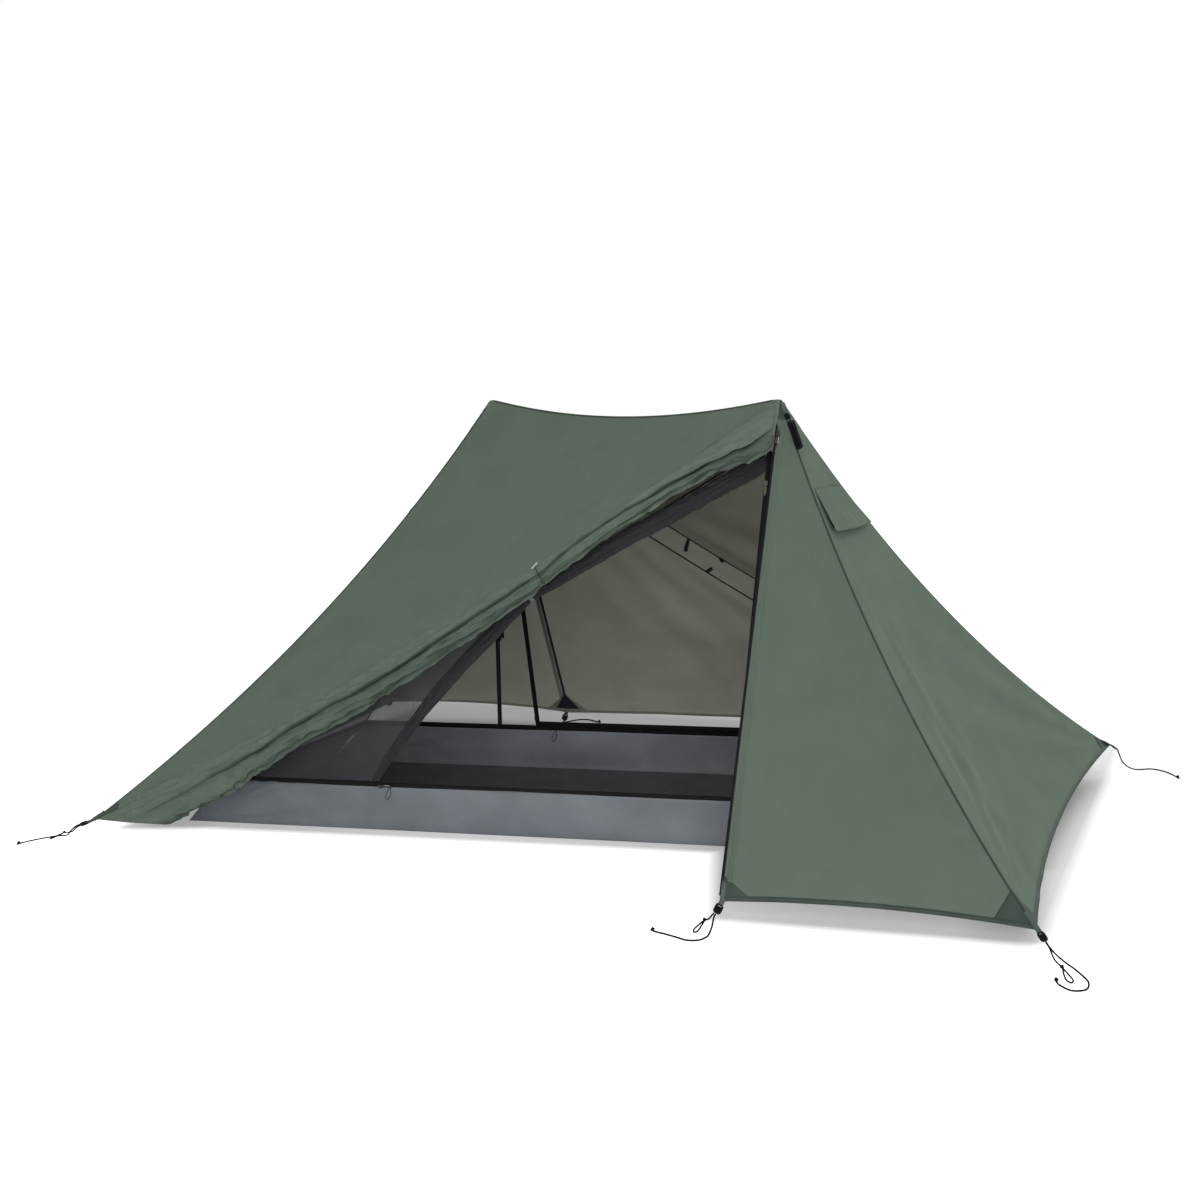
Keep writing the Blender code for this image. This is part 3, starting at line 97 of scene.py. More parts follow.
def put_mesh(name, places, faces, plan, finishes, body="tent"):
    """A mesh from tables of places, of faces with equally many corners, and of plan places in metres,
    one for each place or for each face corner. It rides on the body."""
    mesh = bpy.data.meshes.new(name)
    sides = faces.shape[1]
    mesh.vertices.add(len(places))
    mesh.vertices.foreach_set("co", np.ascontiguousarray(places, float).ravel())
    mesh.loops.add(faces.size)
    mesh.loops.foreach_set("vertex_index", faces.ravel().astype(np.int32))
    mesh.polygons.add(len(faces))
    mesh.polygons.foreach_set("loop_start", np.arange(0, faces.size, sides, dtype=np.int32))
    mesh.polygons.foreach_set("use_smooth", np.full(len(faces), True))
    corners = plan[faces.ravel()] if len(plan) == len(places) else plan
    mesh.uv_layers.new(name="plan").data.foreach_set("uv", np.ascontiguousarray(corners, float).ravel())
    mesh.update(calc_edges=True)
    mesh.validate()
    for finish in finishes:
        mesh.materials.append(finish)
    made = bpy.data.objects.new(name, mesh)
    bpy.context.scene.collection.objects.link(made)
    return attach(made, body)


def grid_faces(rows, columns):
    """Four-sided faces between the places of a grid kept row by row."""
    corner = np.arange(rows * columns).reshape(rows, columns)
    faces = np.stack([corner[:-1, :-1], corner[1:, :-1], corner[1:, 1:], corner[:-1, 1:]], axis=-1)
    return faces.reshape(-1, 4)


def turned_to(places, faces, way, spot=0):
    """The faces, all turned over if the one at the spot looks against the way."""
    first, second, third = places[faces[spot, :3]]
    return faces[:, ::-1] if np.dot(np.cross(second - first, third - first), way) < 0 else faces


def joined(parts):
    """Several (places, faces, plan) tables as one."""
    start = np.cumsum([0] + [len(part[0]) for part in parts])
    return (np.concatenate([part[0] for part in parts]),
            np.concatenate([part[1] + first for part, first in zip(parts, start)]),
            np.concatenate([part[2] for part in parts]))


def merged(made, distance=1e-6, outward=False):
    """Brings together the places where a surface closes on itself. Outward also turns its faces alike."""
    shape = bmesh.new()
    shape.from_mesh(made.data)
    bmesh.ops.remove_doubles(shape, verts=shape.verts, dist=distance)
    if outward:
        bmesh.ops.recalc_face_normals(shape, faces=shape.faces)
    shape.to_mesh(made.data)
    shape.free()
    return made


def new_finish(name, roughness, sockets=()):
    """A material with one Principled shader. Values that are alike all over it stand on its own sockets."""
    made = bpy.data.materials.new(name)
    made.use_nodes = True
    shader = made.node_tree.nodes["Principled BSDF"]
    shader.inputs["Roughness"].default_value = roughness
    for socket, value in dict(sockets).items():
        shader.inputs[socket].default_value = value
    return made, made.node_tree, shader


def tint(red, green, blue):
    """A colour of 0 to 255 as it looks on a screen, in linear light."""
    share = np.array((red, green, blue)) / 255
    return tuple(np.where(share <= 0.04045, share / 12.92, ((share + 0.055) / 1.055) ** 2.4)) + (1.0,)


def effect(name, inputs, outputs):
    """An empty node group with named inputs and outputs: (name, kind, value)."""
    group = bpy.data.node_groups.new(name, "ShaderNodeTree")
    for label, kind, value in inputs:
        socket = group.interface.new_socket(name=label, in_out="INPUT", socket_type="NodeSocket" + kind)
        if value is not None:
            socket.default_value = value
    for label, kind in outputs:
        group.interface.new_socket(name=label, in_out="OUTPUT", socket_type="NodeSocket" + kind)
    return group, group.nodes.new("NodeGroupInput"), group.nodes.new("NodeGroupOutput")


def calculate(tree, operation, first, second=None, third=None, clamp=False):
    """One arithmetic node, fed by sockets or by numbers."""
    node = tree.nodes.new("ShaderNodeMath")
    node.operation = operation
    node.use_clamp = clamp
    for socket, value in zip(node.inputs, (first, second, third)):
        if isinstance(value, bpy.types.NodeSocket):
            tree.links.new(value, socket)
        elif value is not None:
            socket.default_value = value
    return node.outputs[0]


def noise(tree, place, scale, detail=3.0, roughness=0.5, distortion=0.0):
    """Soft cloudy noise on a place, from 0 to 1."""
    node = tree.nodes.new("ShaderNodeTexNoise")
    for socket, value in zip(("Scale", "Detail", "Roughness", "Distortion"),
                             (scale, detail, roughness, distortion)):
        if isinstance(value, bpy.types.NodeSocket):
            tree.links.new(value, node.inputs[socket])
        else:
            node.inputs[socket].default_value = value
    tree.links.new(place, node.inputs["Vector"])
    return node.outputs["Fac"]


def shade_by(tree, mask, low, high, start=0.3, end=0.7):
    """A colour between two, by a mask."""
    node = tree.nodes.new("ShaderNodeValToRGB")
    node.color_ramp.elements[0].position = start
    node.color_ramp.elements[0].color = low
    node.color_ramp.elements[1].position = end
    node.color_ramp.elements[1].color = high
    tree.links.new(mask, node.inputs["Fac"])
    return node.outputs["Color"]


def mixed(tree, mask, ground, colour):
    """One colour laid over another where a mask is 1."""
    node = tree.nodes.new("ShaderNodeMix")
    node.data_type = "RGBA"
    tree.links.new(mask, node.inputs["Factor"])
    tree.links.new(ground, node.inputs["A"])
    node.inputs["B"].default_value = colour
    return node.outputs["Result"]


def raise_by(tree, shader, height, strength, distance):
    """A bump from a height, on the shader's normal."""
    node = tree.nodes.new("ShaderNodeBump")
    node.inputs["Strength"].default_value = strength
    node.inputs["Distance"].default_value = distance
    tree.links.new(height, node.inputs["Height"])
    tree.links.new(node.outputs["Normal"], shader.inputs["Normal"])


def plan_of(tree):
    """The piece's own plan, in metres."""
    node = tree.nodes.new("ShaderNodeUVMap")
    node.uv_map = "plan"
    return node.outputs["UV"]


def object_place(tree):
    return tree.nodes.new("ShaderNodeTexCoord").outputs["Object"]


def with_effect(tree, group, place, **numbers):
    """A shared effect in a material, read from a place or a plan, with its own numbers."""
    node = tree.nodes.new("ShaderNodeGroup")
    node.node_tree = group
    tree.links.new(place, node.inputs[0])
    for label, value in numbers.items():
        node.inputs[label.replace("_", " ")].default_value = value
    return node


down = np.array((0.0, 0.0, -1.0))
up = -down
east = np.array((1.0, 0.0, 0.0))
fly_corner = {
    "front_left": np.array((-1.264, -0.806, 0.048)), "front_right": np.array((1.264, -0.806, 0.051)),
    "back_right": np.array((1.264, 0.806, 0.083)), "back_left": np.array((-1.264, 0.806, 0.060)),
    "peak_right": np.array((0.555, -0.297, 1.169)), "peak_left": np.array((-0.555, 0.297, 1.169)),
    "door_front": np.array((0.595, -0.917, 0.073)), "door_back": np.array((-0.595, 0.917, 0.041)),
}
fly_sag = {
    frozenset(("peak_right", "peak_left")): (0.050, down),
    frozenset(("front_left", "peak_left")): (0.077, down),
    frozenset(("back_right", "peak_right")): (0.077, down),
    frozenset(("front_right", "peak_right")): (0.065, down),
    frozenset(("back_left", "peak_left")): (0.065, down),
    frozenset(("front_left", "peak_right")): (0.045, down),
    frozenset(("back_right", "peak_left")): (0.085, down),
    frozenset(("front_right", "back_right")): (0.050, -east),
    frozenset(("front_left", "back_left")): (0.050, east),
    frozenset(("front_right", "door_front")): (0.015, up),
    frozenset(("back_left", "door_back")): (0.015, up),
    frozenset(("back_right", "door_back")): (0.020, up),
}
# Each panel's corners run so that its face points out of the tent. Its folds fan out from a corner:
# (corner, how many, height, turn, share across where they stand, their spread, from and to share of the way).
fly_panels = {
    "fly_roof_front": ("front_left", "peak_right", "peak_left"),
    "fly_roof_back": ("back_right", "peak_left", "peak_right"),
    "fly_end_right": ("front_right", "back_right", "peak_right"),
    "fly_end_left": ("back_left", "front_left", "peak_left"),
    "fly_front_panel": ("door_front", "front_right", "peak_right"),
    "fly_back_panel": ("door_back", "back_left", "peak_left"),
    "fly_back_door": ("back_right", "door_back", "peak_left"),
}
fly_folds = {
    "fly_roof_front": [("peak_right", 3.0, 0.0040, 0.6, 0.55, 0.35, 0.0, 1.0),
                       ("peak_left", 4.0, 0.0030, 2.1, 0.40, 0.40, 0.0, 0.9),
                       ("front_left", 2.0, 0.0060, 0.3, 0.50, 0.50, 0.0, 1.1)],
    "fly_roof_back": [("peak_left", 3.0, 0.0040, 1.6, 0.55, 0.35, 0.0, 1.0),
                      ("peak_right", 4.0, 0.0030, 0.4, 0.40, 0.40, 0.0, 0.9),
                      ("back_right", 2.0, 0.0060, 1.3, 0.50, 0.50, 0.0, 1.1)],
    "fly_end_right": [("peak_right", 9.0, 0.0022, 0.4, 0.16, 0.12, 0.3, 1.15),
                      ("front_right", 5.0, 0.0030, 0.4, 0.62, 0.30, 0.0, 0.8),
                      ("back_right", 3.0, 0.0040, 0.9, 0.50, 0.40, 0.0, 0.9)],
    "fly_front_panel": [("peak_right", 5.0, 0.0040, 0.2, 0.12, 0.16, 0.10, 1.1),
                        ("peak_right", 7.0, 0.0020, 1.2, 0.62, 0.22, 0.16, 0.85),
                        ("front_right", 3.0, 0.0040, 0.5, 0.50, 0.35, 0.0, 0.9)],
    "fly_back_door": [("peak_left", 6.0, 0.0030, 0.8, 0.55, 0.35, 0.15, 1.1),
                      ("back_right", 3.0, 0.0050, 0.4, 0.50, 0.45, 0.0, 1.0),
                      ("door_back", 5.0, 0.0030, 1.9, 0.45, 0.35, 0.0, 0.8)],
}
half_turn = {"peak_right": "peak_left", "front_right": "back_left", "back_right": "front_left"}
for panel, twin in (("fly_end_right", "fly_end_left"), ("fly_front_panel", "fly_back_panel")):
    fly_folds[twin] = [(half_turn[fold[0]], *fold[1:]) for fold in fly_folds[panel]]
open_edges = [frozenset(("front_right", "back_right")), frozenset(("front_left", "back_left")),
              frozenset(("front_right", "door_front")), frozenset(("back_left", "door_back")),
              frozenset(("back_right", "door_back"))]
peak_round = 0.008
peak_sink = 0.55


def seam_bend(corners, sags, first, last, share):
    """4 s (1 - s) times the seam's sag, along its hint made square to the chord."""
    sag, hint = sags.get(frozenset((first, last)), (0.0, down))
    side = square_to(hint, unit(corners[last] - corners[first]))
    return (4 * share * (1 - share) * sag)[..., None] * side


def panel_place(corners, sags, labels, shares):
    """The three corners by their shares b, plus for each edge 4 b_i b_j times the sag of its seam."""
    place = shares @ np.stack([corners[label] for label in labels])
    for one in range(3):
        two = (one + 1) % 3
        middle_bend = seam_bend(corners, sags, labels[one], labels[two], np.array(0.5))
        place = place + (4 * shares[..., one] * shares[..., two])[..., None] * middle_bend
    return place


def flat_normal(corners, labels):
    first, second, third = [corners[label] for label in labels]
    return unit(np.cross(second - first, third - first))


def fold_height(labels, shares, folds, still_edges):
    """A sum of fans: each is its height times cos(2 pi n s + turn), s the share across as seen from its
    corner, inside a bell across and a half sine along; the sum fades to nothing at the sewn edges."""
    height = np.zeros(shares.shape[:-1])
    for corner, count, depth, turn, middle, spread, start, end in folds:
        spot = labels.index(corner)
        left, right_share = shares[..., (spot + 1) % 3], shares[..., (spot + 2) % 3]
        across = right_share / np.maximum(left + right_share, 1e-9)
        along = np.clip((1 - shares[..., spot] - start) / (end - start), 0, 1)
        height += (depth * np.cos(2 * np.pi * count * across + turn)
                   * np.exp(-((across - middle) / spread) ** 2) * np.sin(np.pi * along))
    for spot in range(3):
        if frozenset((labels[(spot + 1) % 3], labels[(spot + 2) % 3])) not in still_edges:
            height = height * (1 - np.exp(-(shares[..., spot] / 0.07) ** 2))
    return height


def fly_place(panel, shares):
    """The panel's cut shape plus its folds along its flat normal. Over a pole tip the cloth is rounded:
    it sinks by k (sqrt(d d + r r) - d) at the distance d from the peak."""
    labels = fly_panels[panel]
    shares = np.asarray(shares, float)
    place = panel_place(fly_corner, fly_sag, labels, shares)
    height = fold_height(labels, shares, fly_folds[panel], open_edges)
    place = place + height[..., None] * flat_normal(fly_corner, labels)
    for label in labels:
        if label.startswith("peak"):
            distance = np.linalg.norm(place - fly_corner[label], axis=-1)
            place[..., 2] -= peak_sink * (np.sqrt(distance ** 2 + peak_round ** 2) - distance)
    return place


def raised(place_of, panel, shares, lift):
    """Places lifted off a surface along its normal, which is the cross product of two small steps on it."""
    shares = np.asarray(shares, float)
    step = 1e-3
    inner = shares * (1 - 3 * step) + step
    one, two = [place_of(panel, inner + step * np.array(way)) - place_of(panel, inner - step * np.array(way))
                for way in ((1, -0.5, -0.5), (0, 1, -1))]
    return place_of(panel, shares) + np.asarray(lift)[..., None] * unit(np.cross(one, two))


def panel_grid(steps):
    """Shares i/n, j/n and the rest for every place of a three-sided grid, and the small faces between."""
    one, two = np.meshgrid(np.arange(steps + 1), np.arange(steps + 1), indexing="ij")
    kept = one + two <= steps
    number = np.full(kept.shape, -1)
    number[kept] = np.arange(kept.sum())
    shares = np.stack([one[kept], two[kept], steps - one[kept] - two[kept]], axis=1) / steps
    a, b = one[one + two < steps], two[one + two < steps]
    c, d = one[one + two < steps - 1], two[one + two < steps - 1]
    faces = [np.stack([number[a, b], number[a + 1, b], number[a, b + 1]], axis=1),
             np.stack([number[c + 1, d], number[c + 1, d + 1], number[c, d + 1]], axis=1)]
    return shares, np.concatenate(faces)


def panel_plan(corners, labels, shares):
    """Places on the flat panel in metres, along its first edge and square to it."""
    first, second, third = [corners[label] for label in labels]
    along = unit(second - first)
    across = np.cross(flat_normal(corners, labels), along)
    flat = shares @ np.stack([first, second, third]) - first
    return np.stack([flat @ along, flat @ across], axis=-1)


# Weave: threads over and under each other, read from a plan in metres. It puts out their height.
weave, weave_in, weave_out = effect("plain_weave", [("Plan", "Vector", None), ("Thread", "Float", 0.0004)],
                                    [("Height", "Float")])
split = weave.nodes.new("ShaderNodeSeparateXYZ")
weave.links.new(weave_in.outputs["Plan"], split.inputs[0])
ways = [calculate(weave, "SINE", calculate(weave, "MULTIPLY", calculate(
    weave, "DIVIDE", split.outputs[axis], weave_in.outputs["Thread"]), math.pi)) for axis in ("X", "Y")]
crossing = calculate(weave, "MULTIPLY", *ways)
weave.links.new(calculate(weave, "MULTIPLY_ADD", crossing, 0.5, 0.5), weave_out.inputs["Height"])

# Crinkle: fine sharp creases where cloth was packed, over soft cloudy puckers, from a place in metres.
crinkle, crinkle_in, crinkle_out = effect(
    "packed_crinkle", [("Place", "Vector", None), ("Scale", "Float", 9.0)],
    [("Height", "Float"), ("Cloud", "Float")])
soft = noise(crinkle, crinkle_in.outputs["Place"], crinkle_in.outputs["Scale"], 2.0, 0.5, 0.4)
fine_scale = calculate(crinkle, "MULTIPLY", crinkle_in.outputs["Scale"], 5.0)
fine = noise(crinkle, crinkle_in.outputs["Place"], fine_scale, 3.0, 0.6, 0.8)
ridge = calculate(crinkle, "ABSOLUTE", calculate(crinkle, "SUBTRACT", fine, 0.5))
crease = calculate(crinkle, "SUBTRACT", 1.0, calculate(crinkle, "MULTIPLY", ridge, 6.0, clamp=True))
crinkle.links.new(calculate(crinkle, "MULTIPLY_ADD", crease, 0.25, soft), crinkle_out.inputs["Height"])
crinkle.links.new(soft, crinkle_out.inputs["Cloud"])


def cloth_finish(name, dark, pale, roughness, thread, crinkle_scale, depth, sockets, thread_height=0.02):
    """Coated cloth: its colour drifts between two shades, with a weave and packed creases in its bump."""
    made, tree, shader = new_finish(name, roughness, sockets)
    pucker = with_effect(tree, crinkle, object_place(tree), Scale=crinkle_scale)
    cloth = with_effect(tree, weave, plan_of(tree), Thread=thread)
    tree.links.new(shade_by(tree, pucker.outputs["Cloud"], dark, pale), shader.inputs["Base Color"])
    height = calculate(tree, "MULTIPLY_ADD", cloth.outputs["Height"], thread_height, pucker.outputs["Height"])
    raise_by(tree, shader, height, 1.0, depth)
    return made


through_light = {"Subsurface Weight": 0.7, "Subsurface Scale": 0.004, "Subsurface Radius": (1.0, 1.0, 1.0)}
fly_outside = cloth_finish("fly_outside", tint(97, 110, 98), tint(101, 114, 102), 0.6, 0.0005, 7.0, 0.0014,
                           {"Specular IOR Level": 0.0, **through_light})
# The inner face's pale brownish colour is painted light: it stands in for light coming through the fly.
fly_inside = cloth_finish("fly_inside", tint(160, 161, 147), tint(168, 169, 155), 0.7, 0.0005, 7.0, 0.0014,
                          {"Specular IOR Level": 0.1, **through_light})

fly_steps = 84
grid_shares, grid_tris = panel_grid(fly_steps)
parts = []
for panel, labels in fly_panels.items():
    parts.append((fly_place(panel, grid_shares), grid_tris, panel_plan(fly_corner, labels, grid_shares)))
places, faces, plan = joined(parts)
fly = merged(put_mesh("fly_canopy", places, faces, plan, [fly_outside, fly_inside]), 2e-5)
fly.data.set_sharp_from_angle(angle=math.radians(14))
wall = fly.modifiers.new("wall", "SOLIDIFY")
wall.thickness = 0.0008
wall.offset = -1.0
wall.material_offset = 1
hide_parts(*fly_panels)

# Fly seams and trims: felled seams of the same cloth with two rows of stitches, turned hems, doubled
# corner pieces in a darker cloth, black zip tapes, and a storm flap beside the front zip.


def on_edge(corners, labels, first, last, along, inset):
    """Shares on a panel for a share along one of its edges and a distance in from it, in metres: the third
    corner's share is the distance over the panel's height on that edge."""
    third = [label for label in labels if label not in (first, last)][0]
    chord = corners[last] - corners[first]
    height = np.linalg.norm(np.cross(chord, corners[third] - corners[first])) / np.linalg.norm(chord)
    away = np.asarray(inset, float) / height
    along, away = np.broadcast_arrays(np.asarray(along, float), away)
    parts = {first: (1 - along) * (1 - away), last: along * (1 - away), third: away}
    return np.stack([parts[label] for label in labels], axis=-1)


def strip(place_of, corners, panels, panel, first, last, span, width, lift, rows, columns=2):
    """A tape on a panel: rows along an edge over a span of shares, columns between two distances in from
    it, lifted off the cloth. Widths may be numbers, or tables of one number a row. Its faces look the way
    of the lift."""
    labels = panels[panel]
    along = np.linspace(span[0], span[1], rows)[:, None]
    near, far = [np.broadcast_to(np.asarray(edge, float).reshape(-1, 1), (rows, 1)) for edge in width]
    inset = near + (far - near) * np.linspace(0, 1, columns)[None, :]
    shares = on_edge(corners, labels, first, last, np.broadcast_to(along, inset.shape), inset)
    places = raised(place_of, panel, shares, np.full(inset.shape, lift))
    length = np.linalg.norm(corners[last] - corners[first])
    plan = np.stack([along * length + 0 * inset, inset], axis=-1).reshape(-1, 2)
    flat = places.reshape(-1, 3)
    way = flat_normal(corners, labels) * np.sign(lift)
    return flat, turned_to(flat, grid_faces(rows, columns), way), plan


def thick(made, depth, offset=1.0):
    """Gives a sheet its thickness, outwards along its faces."""
    wall = made.modifiers.new("thickness", "SOLIDIFY")
    wall.thickness = depth
    wall.offset = offset
    return made


def fly_strip(panel, first, last, span, width, lift, rows, columns=2):
    return strip(fly_place, fly_corner, fly_panels, panel, first, last, span, width, lift, rows, columns)


# Stitches: rows of short threads at chosen distances across the plan, with a dimple around each.
stitches, stitch_in, stitch_out = effect(
    "stitch_rows", [("Plan", "Vector", None), ("First Row", "Float", 0.002), ("Second Row", "Float", 0.009),
                    ("Pitch", "Float", 0.003)], [("Thread", "Float"), ("Dimple", "Float")])
split = stitches.nodes.new("ShaderNodeSeparateXYZ")
stitches.links.new(stitch_in.outputs["Plan"], split.inputs[0])
nearest = calculate(stitches, "MINIMUM", *[
    calculate(stitches, "ABSOLUTE",
              calculate(stitches, "SUBTRACT", split.outputs["Y"], stitch_in.outputs[row]))
    for row in ("First Row", "Second Row")])
step = calculate(stitches, "FRACT",
                 calculate(stitches, "DIVIDE", split.outputs["X"], stitch_in.outputs["Pitch"]))
dash = calculate(stitches, "LESS_THAN", step, 0.72)
line = calculate(stitches, "LESS_THAN", nearest, 0.0004)
stitches.links.new(calculate(stitches, "MULTIPLY", dash, line), stitch_out.inputs["Thread"])
stitches.links.new(calculate(stitches, "SUBTRACT", 1.0,
                             calculate(stitches, "DIVIDE", nearest, 0.0012), clamp=True),
                   stitch_out.inputs["Dimple"])


def sewn_finish(name, dark, pale, thread_colour, roughness, rows, thread=0.0005, sockets=()):
    """A tape: its cloth's weave, and two rows of stitches a little paler or darker than it."""
    made, tree, shader = new_finish(name, roughness, sockets)
    cloth = with_effect(tree, weave, plan_of(tree), Thread=thread)
    sewing = with_effect(tree, stitches, plan_of(tree), First_Row=rows[0], Second_Row=rows[1])
    cloud = noise(tree, object_place(tree), 25.0, 2.0)
    colour = mixed(tree, sewing.outputs["Thread"], shade_by(tree, cloud, dark, pale), thread_colour)
    tree.links.new(colour, shader.inputs["Base Color"])
    height = calculate(tree, "SUBTRACT", calculate(tree, "MULTIPLY", cloth.outputs["Height"], 0.15),
                       calculate(tree, "MULTIPLY", sewing.outputs["Dimple"], 0.8))
    raise_by(tree, shader, height, 0.8, 0.0006)
    return made


seam_finish = sewn_finish("fly_seams", tint(60, 70, 63), tint(70, 81, 72), tint(46, 54, 48), 0.6,
                          (0.0015, 0.0047),
                          sockets={"Specular IOR Level": 0.05})
hem_finish = sewn_finish("fly_hems", tint(66, 77, 69), tint(74, 85, 77), tint(50, 58, 52), 0.6,
                         (0.003, 0.009),
                         sockets={"Specular IOR Level": 0.05})
corner_finish = sewn_finish("fly_corner_pieces", tint(62, 73, 65), tint(70, 82, 73), tint(48, 56, 50), 0.6,
                            (0.003, 0.006), sockets={"Specular IOR Level": 0.05})

seam_runs = [
    ("fly_roof_front", "peak_left", "peak_right", (0.02, 0.98)),
    ("fly_roof_front", "peak_left", "front_left", (0.02, 0.985)),
    ("fly_roof_back", "peak_right", "back_right", (0.02, 0.985)),
    ("fly_front_panel", "peak_right", "front_right", (0.02, 0.985)),
    ("fly_back_panel", "peak_left", "back_left", (0.02, 0.985)),
    ("fly_back_door", "peak_left", "back_right", (0.02, 0.985)),
    ("fly_back_panel", "peak_left", "door_back", (0.02, 0.985)),
]
fly_seams = put_mesh("fly_seams",
                     *joined([fly_strip(panel, first, last, span, (0.0003, 0.0060), 0.0003, 160, 3)
                              for panel, first, last, span in seam_runs]), [seam_finish])
thick(fly_seams, 0.0007)

hem_runs = [
    ("fly_front_panel", "door_front", "front_right"), ("fly_end_right", "front_right", "back_right"),
    ("fly_back_door", "back_right", "door_back"), ("fly_back_panel", "door_back", "back_left"),
    ("fly_end_left", "back_left", "front_left"),
]
fly_hems = put_mesh("fly_hems",
                    *joined([fly_strip(panel, first, last, (0.004, 0.996), (0.0, 0.012), 0.0003, 160, 3)
                             for panel, first, last in hem_runs]), [hem_finish])
thick(fly_hems, 0.0008)


def corner_piece(panel, corner, first_length, second_length, lift=0.0003, steps=14):
    """A doubled corner: the part of a panel within a line cut across it, as a three-sided grid between
    the corner and a place on each of its two edges."""
    labels = fly_panels[panel]
    spot = labels.index(corner)
    one, two = labels[(spot + 1) % 3], labels[(spot + 2) % 3]
    reach_one = first_length / np.linalg.norm(fly_corner[one] - fly_corner[corner])
    reach_two = second_length / np.linalg.norm(fly_corner[two] - fly_corner[corner])
    local, faces = panel_grid(steps)
    ends = np.zeros((3, 3))
    ends[0, spot] = 1.0
    ends[1, spot], ends[1, labels.index(one)] = 1 - reach_one, reach_one
    ends[2, spot], ends[2, labels.index(two)] = 1 - reach_two, reach_two
    shares = local @ ends
    places = raised(fly_place, panel, shares, np.full(len(shares), lift))
    if lift < 0:
        faces = faces[:, ::-1]
    return places, faces, local[:, 1:] * np.array((first_length, second_length))


corner_cuts = [
    ("fly_front_panel", "door_front", 0.075, 0.060), ("fly_front_panel", "front_right", 0.10, 0.095),
    ("fly_end_right", "front_right", 0.075, 0.095), ("fly_end_right", "back_right", 0.09, 0.09),
    ("fly_roof_back", "back_right", 0.09, 0.09), ("fly_back_door", "back_right", 0.09, 0.09),
    ("fly_back_door", "door_back", 0.085, 0.085), ("fly_back_panel", "door_back", 0.085, 0.085),
    ("fly_back_panel", "back_left", 0.09, 0.09), ("fly_end_left", "back_left", 0.09, 0.09),
    ("fly_end_left", "front_left", 0.09, 0.09), ("fly_roof_front", "front_left", 0.09, 0.09),
    ("fly_end_right", "peak_right", 0.06, 0.06), ("fly_end_left", "peak_left", 0.06, 0.06),
    ("fly_front_panel", "peak_right", 0.06, 0.06), ("fly_back_panel", "peak_left", 0.06, 0.06),
]
corner_pieces = put_mesh("fly_corner_pieces", *joined([corner_piece(*cut) for cut in corner_cuts]),
                         [corner_finish])
thick(corner_pieces, 0.0006)

zip_black, tree, shader = new_finish("zip_tape", 0.7, {"Specular IOR Level": 0.15})
cloth = with_effect(tree, weave, plan_of(tree), Thread=0.0006)
cloud = noise(tree, object_place(tree), 40.0, 2.0)
tree.links.new(shade_by(tree, cloud, tint(8, 9, 9), tint(15, 16, 16)), shader.inputs["Base Color"])
raise_by(tree, shader, cloth.outputs["Height"], 0.6, 0.0004)

back_zip_rows = 90
share = np.linspace(0, 1, back_zip_rows)
flare = 0.0046 + 0.040 * np.clip((share - 0.945) / 0.055, 0, 1) ** 1.2
fly_zips = put_mesh("fly_zip_tapes", *joined([
    fly_strip("fly_front_panel", "peak_right", "door_front", (0.062, 0.99), (-0.0040, 0.0025),
              0.0008, 140, 4),
    *[fly_strip(panel, "peak_left", "door_back", (0.03, 0.985), (0.0, flare), -0.0014, back_zip_rows, 6)
      for panel in ("fly_back_door", "fly_back_panel")],
]), [zip_black])
thick(fly_zips, 0.0010)

storm_flap = put_mesh("fly_storm_flap", *joined([
    fly_strip("fly_front_panel", "peak_right", "door_front", (0.03, 0.965), (0.0110, 0.022), 0.0009, 140, 6),
    fly_strip("fly_back_panel", "peak_left", "door_back", (0.03, 0.965), (0.0085, 0.021), 0.0009, 140, 6),
]), [fly_outside])
thick(storm_flap, 0.0005)

# Front fly door, rolled up: the loose eighth panel hangs from the roof's edge, is rolled in on itself along
# that seam and held by a thin elastic loop and a toggle at a third of the way. By the peak it stays a flat
# flap up to the zip; from there it is two soft lobes with one deep crease, and flattens out at the stake.


def table_at(table, place):
    """Values between a table's (place, value) rows, blended by half a cosine."""
    spots, values = np.transpose(np.asarray(table, float))
    place = np.clip(np.asarray(place, float), spots[0], spots[-1])
    low = np.clip(np.searchsorted(spots, place, side="right") - 1, 0, len(spots) - 2)
    ease = (1 - np.cos(np.pi * (place - spots[low]) / (spots[low + 1] - spots[low]))) / 2
    return values[low] * (1 - ease) + values[low + 1] * ease


def wrinkles(run, turn, seed, count, finest):
    """Small sharp folds below 1: one minus the size of a sum of waves, over the root of their count. Their
    lengths, starts and whole numbers of rounds about the roll are drawn from a seed."""
    draw = np.random.default_rng(seed)
    total = 0.0
    for _ in range(count):
        length = finest * (1 + 5 * draw.random() ** 2)
        rounds = draw.integers(-9, 10)
        total = total + np.sin(2 * np.pi * (run / length + draw.random()) + rounds * turn) * length / finest
    return 1 - np.abs(total) / np.sqrt(count)


def crease(turn, spot, width, steep=1.0):
    """A notch around the ring at an angle: e to the minus way off it over its width. On the side of the
    larger angles the width is divided by steep, so that the lobe there overhangs the notch."""
    away = np.angle(np.exp(1j * (turn - spot)))
    return np.exp(-np.where(away > 0, away * steep, -away) / width)


def lengths_along(path):
    """The length of a path up to each of its points."""
    return np.concatenate([[0.0], np.cumsum(np.linalg.norm(np.diff(path, axis=0), axis=1))])


